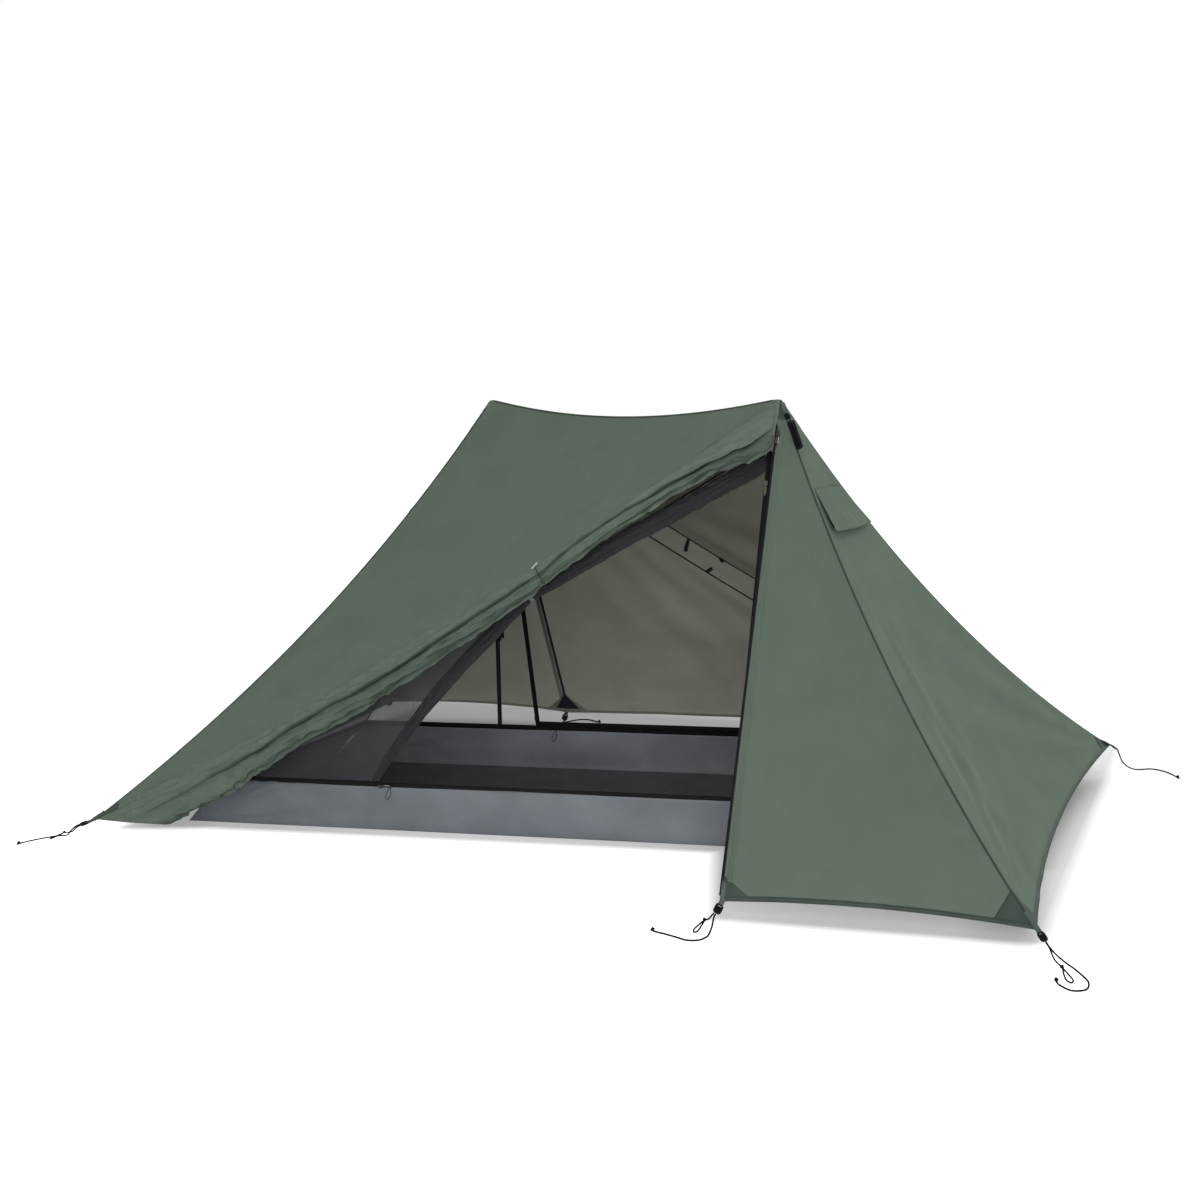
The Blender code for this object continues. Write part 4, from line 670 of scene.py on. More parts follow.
def roll_mesh(line, downhill, outward, upper, lower, depth, profile, slip):
    """A rolled panel: each ring goes round between its upper and lower edge, measured downhill from the
    seam line, by half the width times r cosine v, and out by the depth times r sine v. Slip moves a place
    along the line for each metre downhill. Its ends are drawn in to a point over the last 8 mm."""
    rows, columns = profile.shape
    turn = np.linspace(0, 2 * np.pi, columns)
    along = unit(np.gradient(line, axis=0))
    run = lengths_along(line)
    close = np.clip(np.minimum(run, run[-1] - run) / 0.008, 0, 1)
    close = np.sqrt(np.clip(1 - (1 - close) ** 2, 0, 1))[:, None]
    half = ((lower - upper) / 2)[:, None]
    offset = ((upper + lower) / 2)[:, None] + half * np.cos(turn)[None, :] * profile * close
    rise = depth[:, None] * np.sin(turn)[None, :] * profile * close
    places = (line[:, None, :] + offset[..., None] * downhill[:, None, :] + rise[..., None] * outward
              + (slip[:, None] * offset)[..., None] * along[:, None, :])
    plan = np.stack(np.broadcast_arrays(run[:, None], turn[None, :] * half.mean()), axis=-1)
    faces = grid_faces(rows, columns)
    flat = places.reshape(-1, 3)
    middle = len(faces) // 2
    inside = line[rows // 2] + downhill[rows // 2] * (upper + lower)[rows // 2] / 2
    return flat, turned_to(flat, faces, flat[faces[middle, 0]] - inside, middle), plan.reshape(-1, 2)


door_plane = unit(np.cross(fly_corner["peak_right"] - fly_corner["front_left"],
                           fly_corner["door_front"] - fly_corner["front_left"]))
if door_plane[1] > 0:
    door_plane = -door_plane
seam_length = np.linalg.norm(fly_corner["front_left"] - fly_corner["peak_right"])
roll_rows, roll_columns = 440, 150
roll_run = np.linspace(0.012, seam_length - 0.012, roll_rows)
seam_share = roll_run / seam_length
seam_points = (between(fly_corner["peak_right"], fly_corner["front_left"], seam_share[:, None])
               + seam_bend(fly_corner, fly_sag, "peak_right", "front_left", seam_share))
seam_points[:, 2] -= peak_sink * (np.sqrt(roll_run ** 2 + peak_round ** 2) - roll_run)
along = unit(np.gradient(seam_points, axis=0))
roll_downhill = unit(np.cross(door_plane, along))
roll_downhill *= np.where(roll_downhill[:, 2:] > 0, -1, 1)
# Along the seam from the peak, in metres: the roll's upper and lower edges below it, its half depth, the
# share of its width from the upper edge at which the deep crease runs, and how deep that is.
roll_upper = table_at([(0.0, -0.002), (0.2, -0.004), (0.6, -0.006), (0.75, 0.001), (1.1, -0.005),
                       (1.3, -0.003), (1.7, -0.003), (2.2, -0.001)], roll_run)
roll_lower = table_at([(0.0, 0.070), (0.03, 0.104), (0.10, 0.100), (0.16, 0.082), (0.25, 0.064),
                       (0.37, 0.052), (0.55, 0.044), (0.70, 0.052), (0.752, 0.056), (0.80, 0.066),
                       (1.03, 0.080), (1.19, 0.091), (1.34, 0.096), (1.52, 0.088), (1.71, 0.106),
                       (1.94, 0.120), (2.2, 0.113)], roll_run)
roll_depth = table_at([(0.0, 0.006), (0.06, 0.011), (0.16, 0.018), (0.30, 0.023), (0.70, 0.024),
                       (0.752, 0.018), (0.81, 0.024), (1.5, 0.024), (1.8, 0.017), (2.0, 0.010),
                       (2.2, 0.004)], roll_run)
crease_share = table_at([(0.0, 0.70), (0.08, 0.74), (0.18, 0.76), (0.265, 0.66), (0.36, 0.52), (0.49, 0.41),
                         (0.65, 0.38), (0.752, 0.50), (0.95, 0.52), (1.6, 0.48), (2.2, 0.40)], roll_run)
crease_depth = table_at([(0.0, 0.30), (0.08, 0.60), (0.3, 0.72), (0.70, 0.70), (0.752, 0.45), (0.80, 0.68),
                         (1.2, 0.70), (1.7, 0.60), (2.05, 0.30), (2.2, 0.05)], roll_run)
roll_slip = table_at([(0.0, 0.60), (0.06, 0.50), (0.35, 0.0), (1.45, 0.0), (2.15, -1.80),
                      (2.2, -1.87)], roll_run)
tie_run = 0.752
near_tie = np.abs(roll_run - tie_run)[:, None]
turn = np.linspace(0, 2 * np.pi, roll_columns)[None, :]
run = roll_run[:, None]
split_turn = (np.arccos(2 * crease_share - 1)[:, None]
              + 0.07 * np.sin(run * 14.0 + 0.5) + 0.04 * np.sin(run * 41.0))
lobes = crease_depth[:, None] * crease(turn, split_turn, 0.30, 5.0)
lower_spot = split_turn - 0.62 + 0.30 * np.sin(run * 7.0 + 2.0)
lower_crease = (0.6 + 0.4 * np.sin(run * 19)) * crease(turn, lower_spot, 0.14, 3.0)
upper_spot = split_turn + 0.55 + 0.20 * np.sin(run * 9.0)
upper_crease = np.clip((run - 0.6) / 0.3, 0, 1) * crease(turn, upper_spot, 0.14, 3.0)
lobes += 0.13 * lower_crease + 0.13 * upper_crease + 0.14 * crease(turn, 5.1 + 0.3 * np.sin(run * 6.0), 0.12)
# How much painted shade each place of the roll gets: most in its deep crease, less in the small creases, and
# a band along its lower edge.
painted_crease_shade = np.clip(1.9 * crease_depth[:, None] * crease(turn, split_turn - 0.03, 0.22, 3.0)
                 + 0.16 * lower_crease ** 2 + 0.16 * upper_crease ** 2
                 + 0.8 * crease(turn, 0.25, 0.22), 0, 1)
gather = np.exp(-near_tie / 0.045) + 0.8 * np.exp(-run / 0.09)
pleats = gather * 0.07 * np.cos(14 * turn + 3.0 * np.sin(run * 9.0))
fine_folds = 0.036 * wrinkles(run, turn, 11, 16, 0.030) + 0.060 * wrinkles(run, turn, 5, 10, 0.085)
ruffle = (np.clip((run - 1.1) / 0.7, 0, 1) * np.clip(-np.cos(turn), 0, 1)
          * (0.035 * np.sin(run * 44.0 + 3 * turn) + 0.05 * wrinkles(run, turn, 8, 9, 0.060)))
flat_flap = np.clip(1 - run / 0.22, 0, 1) * np.clip(-np.cos(turn) + 0.2, 0, 1)
profile = (1.0 + 0.05 * np.sin(run * 9.0 + 1) * np.sin(turn + 1.0) - lobes + pleats
           + (1 - flat_flap) * (fine_folds + ruffle))
roll_finish = cloth_finish("rolled_fly_cloth", tint(92, 105, 94), tint(100, 113, 102), 0.55, 0.0005, 26.0,
                           0.0026, {"Specular IOR Level": 0.15})
# Painted shade: an attribute darkens the cloth's colour to a dark green inside the creases and along the
# roll's lower edge, where little light reaches.
tree = roll_finish.node_tree
shader = tree.nodes["Principled BSDF"]
crease_shade_node = tree.nodes.new("ShaderNodeAttribute")
crease_shade_node.attribute_name = "painted_crease_shade"
lit_colour = shader.inputs["Base Color"].links[0].from_socket
tree.links.new(mixed(tree, crease_shade_node.outputs["Fac"], lit_colour, tint(30, 37, 31)), shader.inputs["Base Color"])
fly_roll = put_mesh("fly_front_door_rolled", *roll_mesh(seam_points, roll_downhill, door_plane, roll_upper,
                                                        roll_lower, roll_depth, profile, roll_slip),
                                                        [roll_finish])
fly_roll.data.attributes.new("painted_crease_shade", "FLOAT", "POINT").data.foreach_set("value", painted_crease_shade.ravel())
merged(fly_roll)
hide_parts("fly_front_door_roll")

# Vents: in each end panel a hood of the same cloth hangs from a seam below the peak, over a window of
# black net. A short stiff stay under its lip holds it open, and folds flat to close it.


hood_top, hood_lip, window_top, window_height, vent_width = 0.238, 0.356, 0.270, 0.074, 0.22


def vent_shares(panel, peak, distance, across):
    """Shares on an end panel at a distance from its peak down its middle line, and a share across."""
    labels = fly_panels[panel]
    top_spot = labels.index(peak)
    foot = (fly_corner[labels[(top_spot + 1) % 3]] + fly_corner[labels[(top_spot + 2) % 3]]) / 2
    fall = distance / np.linalg.norm(foot - fly_corner[peak])
    fall, across = np.broadcast_arrays(fall, across)
    parts = {top_spot: 1 - fall, (top_spot + 1) % 3: fall * (1 - across), (top_spot + 2) % 3: fall * across}
    return np.stack([parts[spot] for spot in range(3)], axis=-1)


def vent_sheet(panel, peak, distance, across, lift, plan_down):
    """A grid on an end panel, lifted off it: each row lies at its distance below the peak."""
    shares = vent_shares(panel, peak, distance, across)
    places = raised(fly_place, panel, shares, np.broadcast_to(lift, shares.shape[:-1])).reshape(-1, 3)
    faces = grid_faces(len(distance), across.size)
    plan = np.stack(np.broadcast_arrays(across * vent_width, plan_down), axis=-1).reshape(-1, 2)
    return places, turned_to(places, faces, flat_normal(fly_corner, fly_panels[panel])), plan


window_parts = []
for side, panel, peak in (("right", "fly_end_right", "peak_right"), ("left", "fly_end_left", "peak_left")):
    fall = np.linspace(0.0, 1.0, 26)[:, None]
    across = np.linspace(0.07, 0.93, 60)[None, :]
    bow = np.clip(np.sin(np.pi * (across - 0.07) / 0.86), 0, 1)
    lip = hood_lip + 0.006 * bow
    distance = hood_top + (lip - hood_top) * fall
    lift = 0.0010 + 0.0175 * fall * (0.62 + 0.38 * bow ** 0.6) + 0.0005 * np.sin(across * 38) * fall ** 2
    hood = put_mesh("vent_hood_cloth_" + side, *vent_sheet(panel, peak, distance, across, lift, distance),
                    [fly_outside], "vent_hood_" + side)
    thick(hood, 0.0008)
    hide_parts("vent_hood_" + side)
    fall = np.linspace(0.0, 1.0, 12)[:, None]
    across = np.linspace(0.14, 0.86, 30)[None, :]
    below = window_height * fall
    window_parts.append(vent_sheet(panel, peak, window_top + below, across, 0.0005, below))

# Top corner of the front door: the last three-sided piece of the loose panel stays sewn at the peak,
# between the roof's seam and the head of the zip, and closes the tent above the zip's first tooth.
corner_rows, corner_columns = 30, 24
seam_reach = np.linspace(0.0, 0.150, corner_rows) / seam_length
zip_length = np.linalg.norm(fly_corner["door_front"] - fly_corner["peak_right"])
zip_reach = np.linspace(0.0, 0.104, corner_rows) / zip_length
roof_labels, front_labels = fly_panels["fly_roof_front"], fly_panels["fly_front_panel"]
seam_side = fly_place("fly_roof_front",
                      on_edge(fly_corner, roof_labels, "peak_right", "front_left", seam_reach, 0.0))
zip_side = fly_place("fly_front_panel",
                     on_edge(fly_corner, front_labels, "peak_right", "door_front", zip_reach, 0.0))
across = np.linspace(0, 1, corner_columns)[None, :, None]
places = between(seam_side[:, None, :], zip_side[:, None, :], across)
swell = np.sin(np.pi * across) * np.linspace(0, 1, corner_rows)[:, None, None]
places = places + door_plane * (0.0035 * swell + 0.0010 * np.sin(20 * across) * swell)
plan = np.stack(np.broadcast_arrays(np.linspace(0, 0.150, corner_rows)[:, None],
                                    across[..., 0] * 0.1), axis=-1)
faces = grid_faces(corner_rows, corner_columns)
flat = places.reshape(-1, 3)
faces = turned_to(flat, faces, door_plane, len(faces) // 2)
door_corner = thick(merged(put_mesh("fly_door_top_corner", flat, faces, plan.reshape(-1, 2),
                                    [roll_finish])), 0.0007)

# Inner floor: one sheet of grey coated cloth turned up 13 cm all round as a shallow tub, with a black
# binding on its rim. It lies on the ground and its walls pucker a little between the corner ties.
inner_corner = {
    "floor_a": np.array((-1.12, -0.572, 0.0)), "floor_b": np.array((1.12, -0.182, 0.0)),
    "top_a": np.array((-1.0, -0.551, 0.13)), "top_b": np.array((1.0, -0.203, 0.13)),
    "hinge": np.array((-0.57, -0.476, 0.13)), "zip": np.array((0.425, -0.303, 0.13)),
    "peak": np.array((0.515, -0.275, 1.05)),
}
for label in list(inner_corner):
    inner_corner[label + "2"] = inner_corner[label] * np.array((-1.0, -1.0, 1.0))
inner_corner["tie"] = inner_corner["top_a"] + 0.585 * (inner_corner["peak"] - inner_corner["top_a"])

wall_lines = [("a", "b"), ("b", "a2"), ("a2", "b2"), ("b2", "a")]
wall_rows, wall_height = 14, 0.13


def tub_wall(first, last, columns):
    """A wall from the floor's edge to the rim: straight between the two lines, with a rounded foot, a soft
    bow of sine of the way up that sways along the wall, and fans of creases from its lower corners."""
    along = np.linspace(0, 1, columns)[None, :, None]
    rise = np.linspace(0, 1, wall_rows)[:, None, None] ** 1.4
    foot, rim = [between(inner_corner[edge + first], inner_corner[edge + last], along)
                 for edge in ("floor_", "top_")]
    length = np.linalg.norm(inner_corner["floor_" + last] - inner_corner["floor_" + first])
    away = unit(np.cross(inner_corner["floor_" + last] - inner_corner["floor_" + first], up))
    run = along[..., 0] * length
    height = rise[..., 0] * wall_height
    bend = 0.006 * np.sin(math.pi * rise[..., 0]) * np.sin(2 * np.pi * run / 0.9 + 1.0)
    for start in (0.0, length):
        reach = np.abs(run - start) + 0.02
        slope = np.arctan2(height, reach)
        bend = bend + (0.0045 * np.cos(slope * 34) * np.exp(-(reach / 0.42) ** 2)
                       * np.sin(math.pi * np.clip(rise[..., 0], 0, 1)) ** 0.7)
    bend = bend + 0.0012 * np.sin(run / 0.031 + 3 * height / wall_height) * np.sin(math.pi * rise[..., 0])
    places = foot + (rim - foot) * rise + away * bend[..., None]
    foot_round = 0.012
    places = places - away * (foot_round * np.exp(-height / foot_round))[..., None] * 0.5
    places[..., 2] = np.maximum(height, 0.0008)
    plan = np.stack([run + 0 * height, height + 0 * run], axis=-1)
    return places, plan


sides = []
for first, last in wall_lines:
    length = np.linalg.norm(inner_corner["floor_" + last] - inner_corner["floor_" + first])
    sides.append(tub_wall(first, last, int(length / 0.012)))
parts = [(places.reshape(-1, 3), grid_faces(*places.shape[:2])[:, ::-1], plan.reshape(-1, 2))
         for places, plan in sides]
front_edge, back_edge = sides[0][0][0], sides[2][0][0][::-1]
columns = len(front_edge)
back_edge = back_edge[np.linspace(0, len(back_edge) - 1, columns).round().astype(int)]
across = np.linspace(0, 1, 90)[:, None, None]
ground = between(front_edge[None], back_edge[None], across)
swell = np.clip(np.sin(ground[..., 0] / 0.13 + 2 * np.sin(ground[..., 1] / 0.21))
                * np.sin(ground[..., 1] / 0.09 + 1.3 * np.sin(ground[..., 0] / 0.37)), 0, 1)
edge_fade = np.sin(math.pi * across[..., 0]) * np.clip((1.05 - np.abs(ground[..., 0])) / 0.1, 0, 1)
ground[..., 2] = 0.0008 + 0.004 * swell * edge_fade
parts.append((ground.reshape(-1, 3), grid_faces(*ground.shape[:2])[:, ::-1], ground[..., :2].reshape(-1, 2)))
tub_finish = cloth_finish("tub_cloth", tint(106, 112, 118), tint(118, 124, 130), 0.5, 0.0005, 8.0, 0.0016,
                          {"Specular IOR Level": 0.35})
tub = put_mesh("inner_tub", *joined(parts), [tub_finish])
thick(tub, 0.0007)
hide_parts("inner_floor", "inner_wall_front", "inner_wall_right", "inner_wall_back", "inner_wall_left")

# Inner net: fine black mesh cut in nine three-sided panels and sewn with black bindings. It hangs by short
# straps from the two fly peaks, and its front door panel is rolled up against the roof panel's edge.
inner_sag = {
    frozenset(("peak", "peak2")): (0.045, down), frozenset(("top_a", "peak2")): (0.045, down),
    frozenset(("top_a2", "peak")): (0.045, down), frozenset(("top_a2", "peak2")): (0.030, down),
    frozenset(("top_b", "peak")): (0.030, down), frozenset(("top_b2", "peak2")): (0.030, down),
    frozenset(("hinge", "tie")): (0.030, up),
}
inner_panels = {
    "inner_roof_front": ("top_a", "peak", "peak2"), "inner_roof_back": ("top_a2", "peak2", "peak"),
    "inner_end_right": ("top_b", "top_a2", "peak"), "inner_end_left": ("top_b2", "top_a", "peak2"),
    "inner_front_left_mesh": ("top_a", "hinge", "tie"), "inner_front_right_mesh": ("zip", "top_b", "peak"),
    "inner_back_right_mesh": ("top_a2", "hinge2", "peak2"),
    "inner_back_left_mesh": ("zip2", "top_b2", "peak2"),
    "inner_back_door": ("hinge2", "zip2", "peak2"),
}
inner_middle = np.array((0.0, 0.0, 0.26))
for panel, labels in list(inner_panels.items()):
    centre = sum(inner_corner[label] for label in labels) / 3
    if flat_normal(inner_corner, labels).dot(centre - inner_middle) < 0:
        inner_panels[panel] = (labels[0], labels[2], labels[1])


def inner_place(panel, shares):
    """The net panel's cut shape, with a faint slack of 4 mm in its middle."""
    labels = inner_panels[panel]
    shares = np.asarray(shares, float)
    slack = -0.004 * 27 * np.clip(shares, 0, 1).prod(axis=-1)[..., None]
    return panel_place(inner_corner, inner_sag, labels, shares) + slack * flat_normal(inner_corner, labels)


def net_cloth(name, dark, pale, gap_cover):
    """Fine net: threads along the edges of small cells, and a part of the gaps, cover what is behind it.
    Lamps reach through it more easily than the slanting view does."""
    made, tree, shader = new_finish(name, 0.7, {"Specular IOR Level": 0.1, "Sheen Weight": 0.05})
    cells = tree.nodes.new("ShaderNodeTexVoronoi")
    cells.feature = "DISTANCE_TO_EDGE"
    cells.inputs["Scale"].default_value = 620.0
    cells.inputs["Randomness"].default_value = 0.15
    tree.links.new(plan_of(tree), cells.inputs["Vector"])
    gaps = calculate(tree, "MULTIPLY", cells.outputs["Distance"], 3.2, clamp=True)
    cloud = noise(tree, object_place(tree), 6.0, 2.0)
    tree.links.new(shade_by(tree, cloud, dark, pale), shader.inputs["Base Color"])
    cover = calculate(tree, "MULTIPLY_ADD", calculate(tree, "SUBTRACT", 1.0, gaps), 0.34, gap_cover)
    path = tree.nodes.new("ShaderNodeLightPath")
    thin = calculate(tree, "MULTIPLY_ADD", path.outputs["Is Shadow Ray"], -0.8, 1.0)
    tree.links.new(calculate(tree, "MULTIPLY", cover, thin), shader.inputs["Alpha"])
    return made


net_finish = net_cloth("black_net", tint(26, 25, 32), tint(36, 35, 44), 0.35)
# The front left and left end panels get a paler copy of the same black net: painted light, where little light
# reaches them.
net_painted_lighter_finish = net_cloth("black_net_painted_lighter", tint(60, 60, 65), tint(72, 71, 77), 0.66)

grid_shares, grid_tris = panel_grid(40)
net = merged(put_mesh("inner_net", *joined([(inner_place(panel, grid_shares), grid_tris,
                                             panel_plan(inner_corner, labels, grid_shares))
                                            for panel, labels in inner_panels.items()]),
                     [net_finish, net_painted_lighter_finish]), 2e-5)
panel_number = np.repeat(np.arange(len(inner_panels)), len(grid_tris))
lighter_net_panels = [list(inner_panels).index(panel) for panel in ("inner_front_left_mesh", "inner_end_left")]
net.data.polygons.foreach_set("material_index", np.isin(panel_number, lighter_net_panels).astype(np.int32))
net.data.set_sharp_from_angle(angle=math.radians(14))
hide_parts(*inner_panels)


def inner_strip(panel, first, last, span, width, lift, rows, columns=2):
    return strip(inner_place, inner_corner, inner_panels, panel, first, last, span, width, lift,
                 rows, columns)


binding_runs = [
    ("inner_roof_front", "peak", "peak2", 0.008), ("inner_roof_front", "top_a", "peak", 0.009),
    ("inner_roof_front", "top_a", "peak2", 0.007), ("inner_roof_back", "top_a2", "peak", 0.007),
    ("inner_roof_back", "top_a2", "peak2", 0.009), ("inner_end_right", "top_b", "peak", 0.007),
    ("inner_end_left", "top_b2", "peak2", 0.007), ("inner_end_right", "top_b", "top_a2", 0.010),
    ("inner_end_left", "top_b2", "top_a", 0.010), ("inner_front_left_mesh", "top_a", "hinge", 0.008),
    ("inner_front_right_mesh", "zip", "top_b", 0.008), ("inner_back_right_mesh", "top_a2", "hinge2", 0.008),
    ("inner_back_left_mesh", "zip2", "top_b2", 0.008),
    ("inner_back_door", "hinge2", "zip2", 0.021), ("inner_back_door", "zip2", "peak2", 0.007),
    ("inner_back_left_mesh", "zip2", "peak2", 0.007), ("inner_front_right_mesh", "zip", "peak", 0.016),
]
bindings = put_mesh("inner_bindings",
                    *joined([inner_strip(panel, first, last, (0.003, 0.997), (0.0, width), 0.0001, 90, 3)
                             for panel, first, last, width in binding_runs]), [zip_black])
thick(bindings, 0.0024, 0.0)

# Tub rim: black polyester tape folded over the tub's upper edge and sewn through, with the net's lower edge
# between its two layers. Along the doors it carries the sill zip's lower tape.
rim_parts = []
for first, last, depth in (("top_a", "top_b", 0.006), ("top_b", "top_a2", 0.006),
                           ("top_a2", "top_b2", 0.008), ("top_b2", "top_a", 0.006)):
    way = unit(inner_corner[last] - inner_corner[first])
    away = unit(np.cross(way, up))
    run = np.linspace(0, 1, 120)[:, None]
    line = between(inner_corner[first], inner_corner[last], run)
    turn = np.linspace(0, 2 * np.pi, 9)
    ring = np.cos(turn)[None, :, None] * away * 0.0016 + np.sin(turn)[None, :, None] * up * depth
    places = line[:, None, :] + ring
    length = np.linalg.norm(inner_corner[last] - inner_corner[first])
    plan = np.stack(np.broadcast_arrays(run * length, turn[None, :] * 0.003), axis=-1)
    rim_parts.append((places.reshape(-1, 3), grid_faces(120, 9), plan.reshape(-1, 2)))
rim = merged(put_mesh("inner_rim_binding", *joined(rim_parts), [zip_black]))

# Vent windows: a piece of fine black net in each end panel, under its hood. It is sewn in along all four
# sides, so that air passes and insects stay out.
window_finish, tree, shader = new_finish("vent_window_net", 0.8, {"Specular IOR Level": 0.1})
cloud = noise(tree, object_place(tree), 60.0, 2.0)
tree.links.new(shade_by(tree, cloud, tint(12, 13, 13), tint(24, 25, 25), 0.0, 1.0),
               shader.inputs["Base Color"])
windows = put_mesh("vent_windows", *joined(window_parts), [window_finish])
thick(windows, 0.0004)

# Front inner door, rolled up: the loose net panel gathered along its two edges into a soft dark band,
# tied at two thirds of the way up with a loop of pale webbing.
inner_normal = flat_normal(inner_corner, ("top_a", "zip", "peak"))
if inner_normal[1] > 0:
    inner_normal = -inner_normal
first_length = np.linalg.norm(inner_corner["tie"] - inner_corner["hinge"])
second_length = np.linalg.norm(inner_corner["peak"] - inner_corner["tie"])
net_run = np.linspace(0.016, first_length + second_length - 0.006, 380)
first_share = np.clip(net_run / first_length, 0, 1)
second_share = np.clip((net_run - first_length) / second_length, 0, 1)
lower_line = (between(inner_corner["hinge"], inner_corner["tie"], first_share[:, None])
              + seam_bend(inner_corner, inner_sag, "hinge", "tie", first_share))
upper_line = between(inner_corner["tie"], inner_corner["peak"], second_share[:, None])
points = np.where((net_run > first_length)[:, None], upper_line, lower_line)
for _ in range(14):
    points[1:-1] = (points[:-2] + 2 * points[1:-1] + points[2:]) / 4
along = unit(np.gradient(points, axis=0))
net_downhill = unit(np.cross(inner_normal, along))
net_downhill *= np.where(net_downhill[:, 2:] > 0, -1, 1)
# Along the roll from its foot: the upper and lower edges below the panel's edge, and the half depth.
net_upper = table_at([(0.0, -0.004), (0.3, -0.004), (0.7, 0.0), (1.0, -0.010), (1.26, 0.002),
                      (1.46, 0.008)], net_run)
net_lower = table_at([(0.0, 0.016), (0.1, 0.020), (0.24, 0.026), (0.35, 0.032), (0.53, 0.036), (0.64, 0.031),
                      (0.712, 0.024), (0.80, 0.030), (1.0, 0.034), (1.12, 0.042), (1.24, 0.047),
                      (1.41, 0.054), (1.46, 0.050)], net_run)
net_depth = table_at([(0.0, 0.006), (0.1, 0.011), (0.6, 0.012), (0.71, 0.008), (0.80, 0.011), (1.3, 0.012),
                      (1.46, 0.006)], net_run)
net_slip = table_at([(0.0, 0.0), (1.2, 0.0), (1.46, -0.45)], net_run)
turn = np.linspace(0, 2 * np.pi, 84)[None, :]
run = net_run[:, None]
profile = (1.0 - 0.26 * crease(turn, np.pi * (0.5 + 0.12 * np.sin(5 * run)), 0.14)
           - 0.18 * crease(turn, np.pi * (0.28 + 0.1 * np.sin(8 * run + 1)), 0.10)
           - 0.16 * crease(turn, np.pi * (0.74 + 0.08 * np.sin(11 * run + 2)), 0.10)
           + 0.05 * wrinkles(run, turn, 3, 12, 0.034)
           + 0.06 * np.sin(9 * turn + 3 * np.sin(6 * run)) * np.exp(-np.abs(run - first_length) / 0.07))
net_roll_finish = cloth_finish("rolled_net", tint(10, 9, 14), tint(21, 20, 27), 0.55, 0.0009, 30.0, 0.0018,
                               {"Specular IOR Level": 0.3, "Sheen Weight": 0.15}, 0.2)
net_roll = merged(put_mesh("inner_front_door_rolled",
                           *roll_mesh(points, net_downhill, inner_normal, net_upper,
                                      net_lower, net_depth, profile, net_slip),
                           [net_roll_finish]))
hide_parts("inner_front_door_roll")

# Stake cords: black braided polyester, 4 mm thick, at five of the stake points. Each leaves its cord lock,
# drops to the ground and lies there in loose curves, with an overhand knot near its sealed end.


def smooth_route(points, count):
    """The centripetal curve through the points, read at equal lengths: between two points it blends the
    four straight lines through its neighbours twice over, by the square roots of their lengths."""
    given = np.asarray(points, float)
    ends = np.concatenate([[2 * given[0] - given[1]], given, [2 * given[-1] - given[-2]]])
    gaps = np.sqrt(np.linalg.norm(np.diff(ends, axis=0), axis=1))
    p0, p1, p2, p3 = ends[:-3], ends[1:-2], ends[2:-1], ends[3:]
    k1, k2, k3 = [knot[:, None, None] for knot in (gaps[:-2], gaps[:-2] + gaps[1:-1],
                                                   gaps[:-2] + gaps[1:-1] + gaps[2:])]
    t = k1 + (k2 - k1) * np.linspace(0, 1, 24, endpoint=False)[None, :, None]
    p0, p1, p2, p3 = [point[:, None, :] for point in (p0, p1, p2, p3)]
    one = ((k1 - t) * p0 + t * p1) / k1
    two = ((k2 - t) * p1 + (t - k1) * p2) / (k2 - k1)
    three = ((k3 - t) * p2 + (t - k2) * p3) / (k3 - k2)
    low = ((k2 - t) * one + t * two) / k2
    high = ((k3 - t) * two + (t - k1) * three) / (k3 - k1)
    fine = np.concatenate([(((k2 - t) * low + (t - k1) * high) / (k2 - k1)).reshape(-1, 3), given[-1:]])
    run = lengths_along(fine)
    wanted = np.linspace(0, run[-1], count)
    return np.stack([np.interp(wanted, run, fine[:, axis]) for axis in range(3)], axis=1)


def sides_along(path):
    """Two sides square to the path at each of its points, carried along it with the least turning."""
    along = unit(np.gradient(path, axis=0))
    first = np.empty_like(along)
    seed = np.cross(along[0], (0.31, 0.17, 0.93))
    for spot, way in enumerate(along):
        first[spot] = seed = square_to(seed, way)
    return first, np.cross(along, first)


def round_tube(path, radius, sides):
    """A round rope: each ring is the path's place plus radius times the two sides by cosine and sine of
    the turn, drawn to a rounded point over the first and last radius. Returns places, faces and plan."""
    path = np.asarray(path, float)
    run = lengths_along(path)
    ends = np.array((0.0, 0.15, 0.45, 1.0)) * radius
    more = np.concatenate([ends, run[(run > radius * 1.3) & (run < run[-1] - radius * 1.3)],
                           run[-1] - ends[::-1]])
    path = np.stack([np.interp(more, run, path[:, axis]) for axis in range(3)], axis=1)
    inset = np.clip(np.minimum(more, run[-1] - more) / radius, 0, 1)
    swell = np.sqrt(np.clip(1 - (1 - inset) ** 2, 0, 1)) * radius
    first, second = sides_along(path)
    turn = np.linspace(0, 2 * np.pi, sides + 1)
    ring = np.cos(turn)[None, :, None] * first[:, None, :] + np.sin(turn)[None, :, None] * second[:, None, :]
    places = path[:, None, :] + ring * swell[:, None, None]
    plan = np.stack(np.broadcast_arrays(more[:, None], turn[None, :] * radius), axis=-1)
    return places.reshape(-1, 3), grid_faces(len(path), sides + 1)[:, ::-1], plan.reshape(-1, 2)


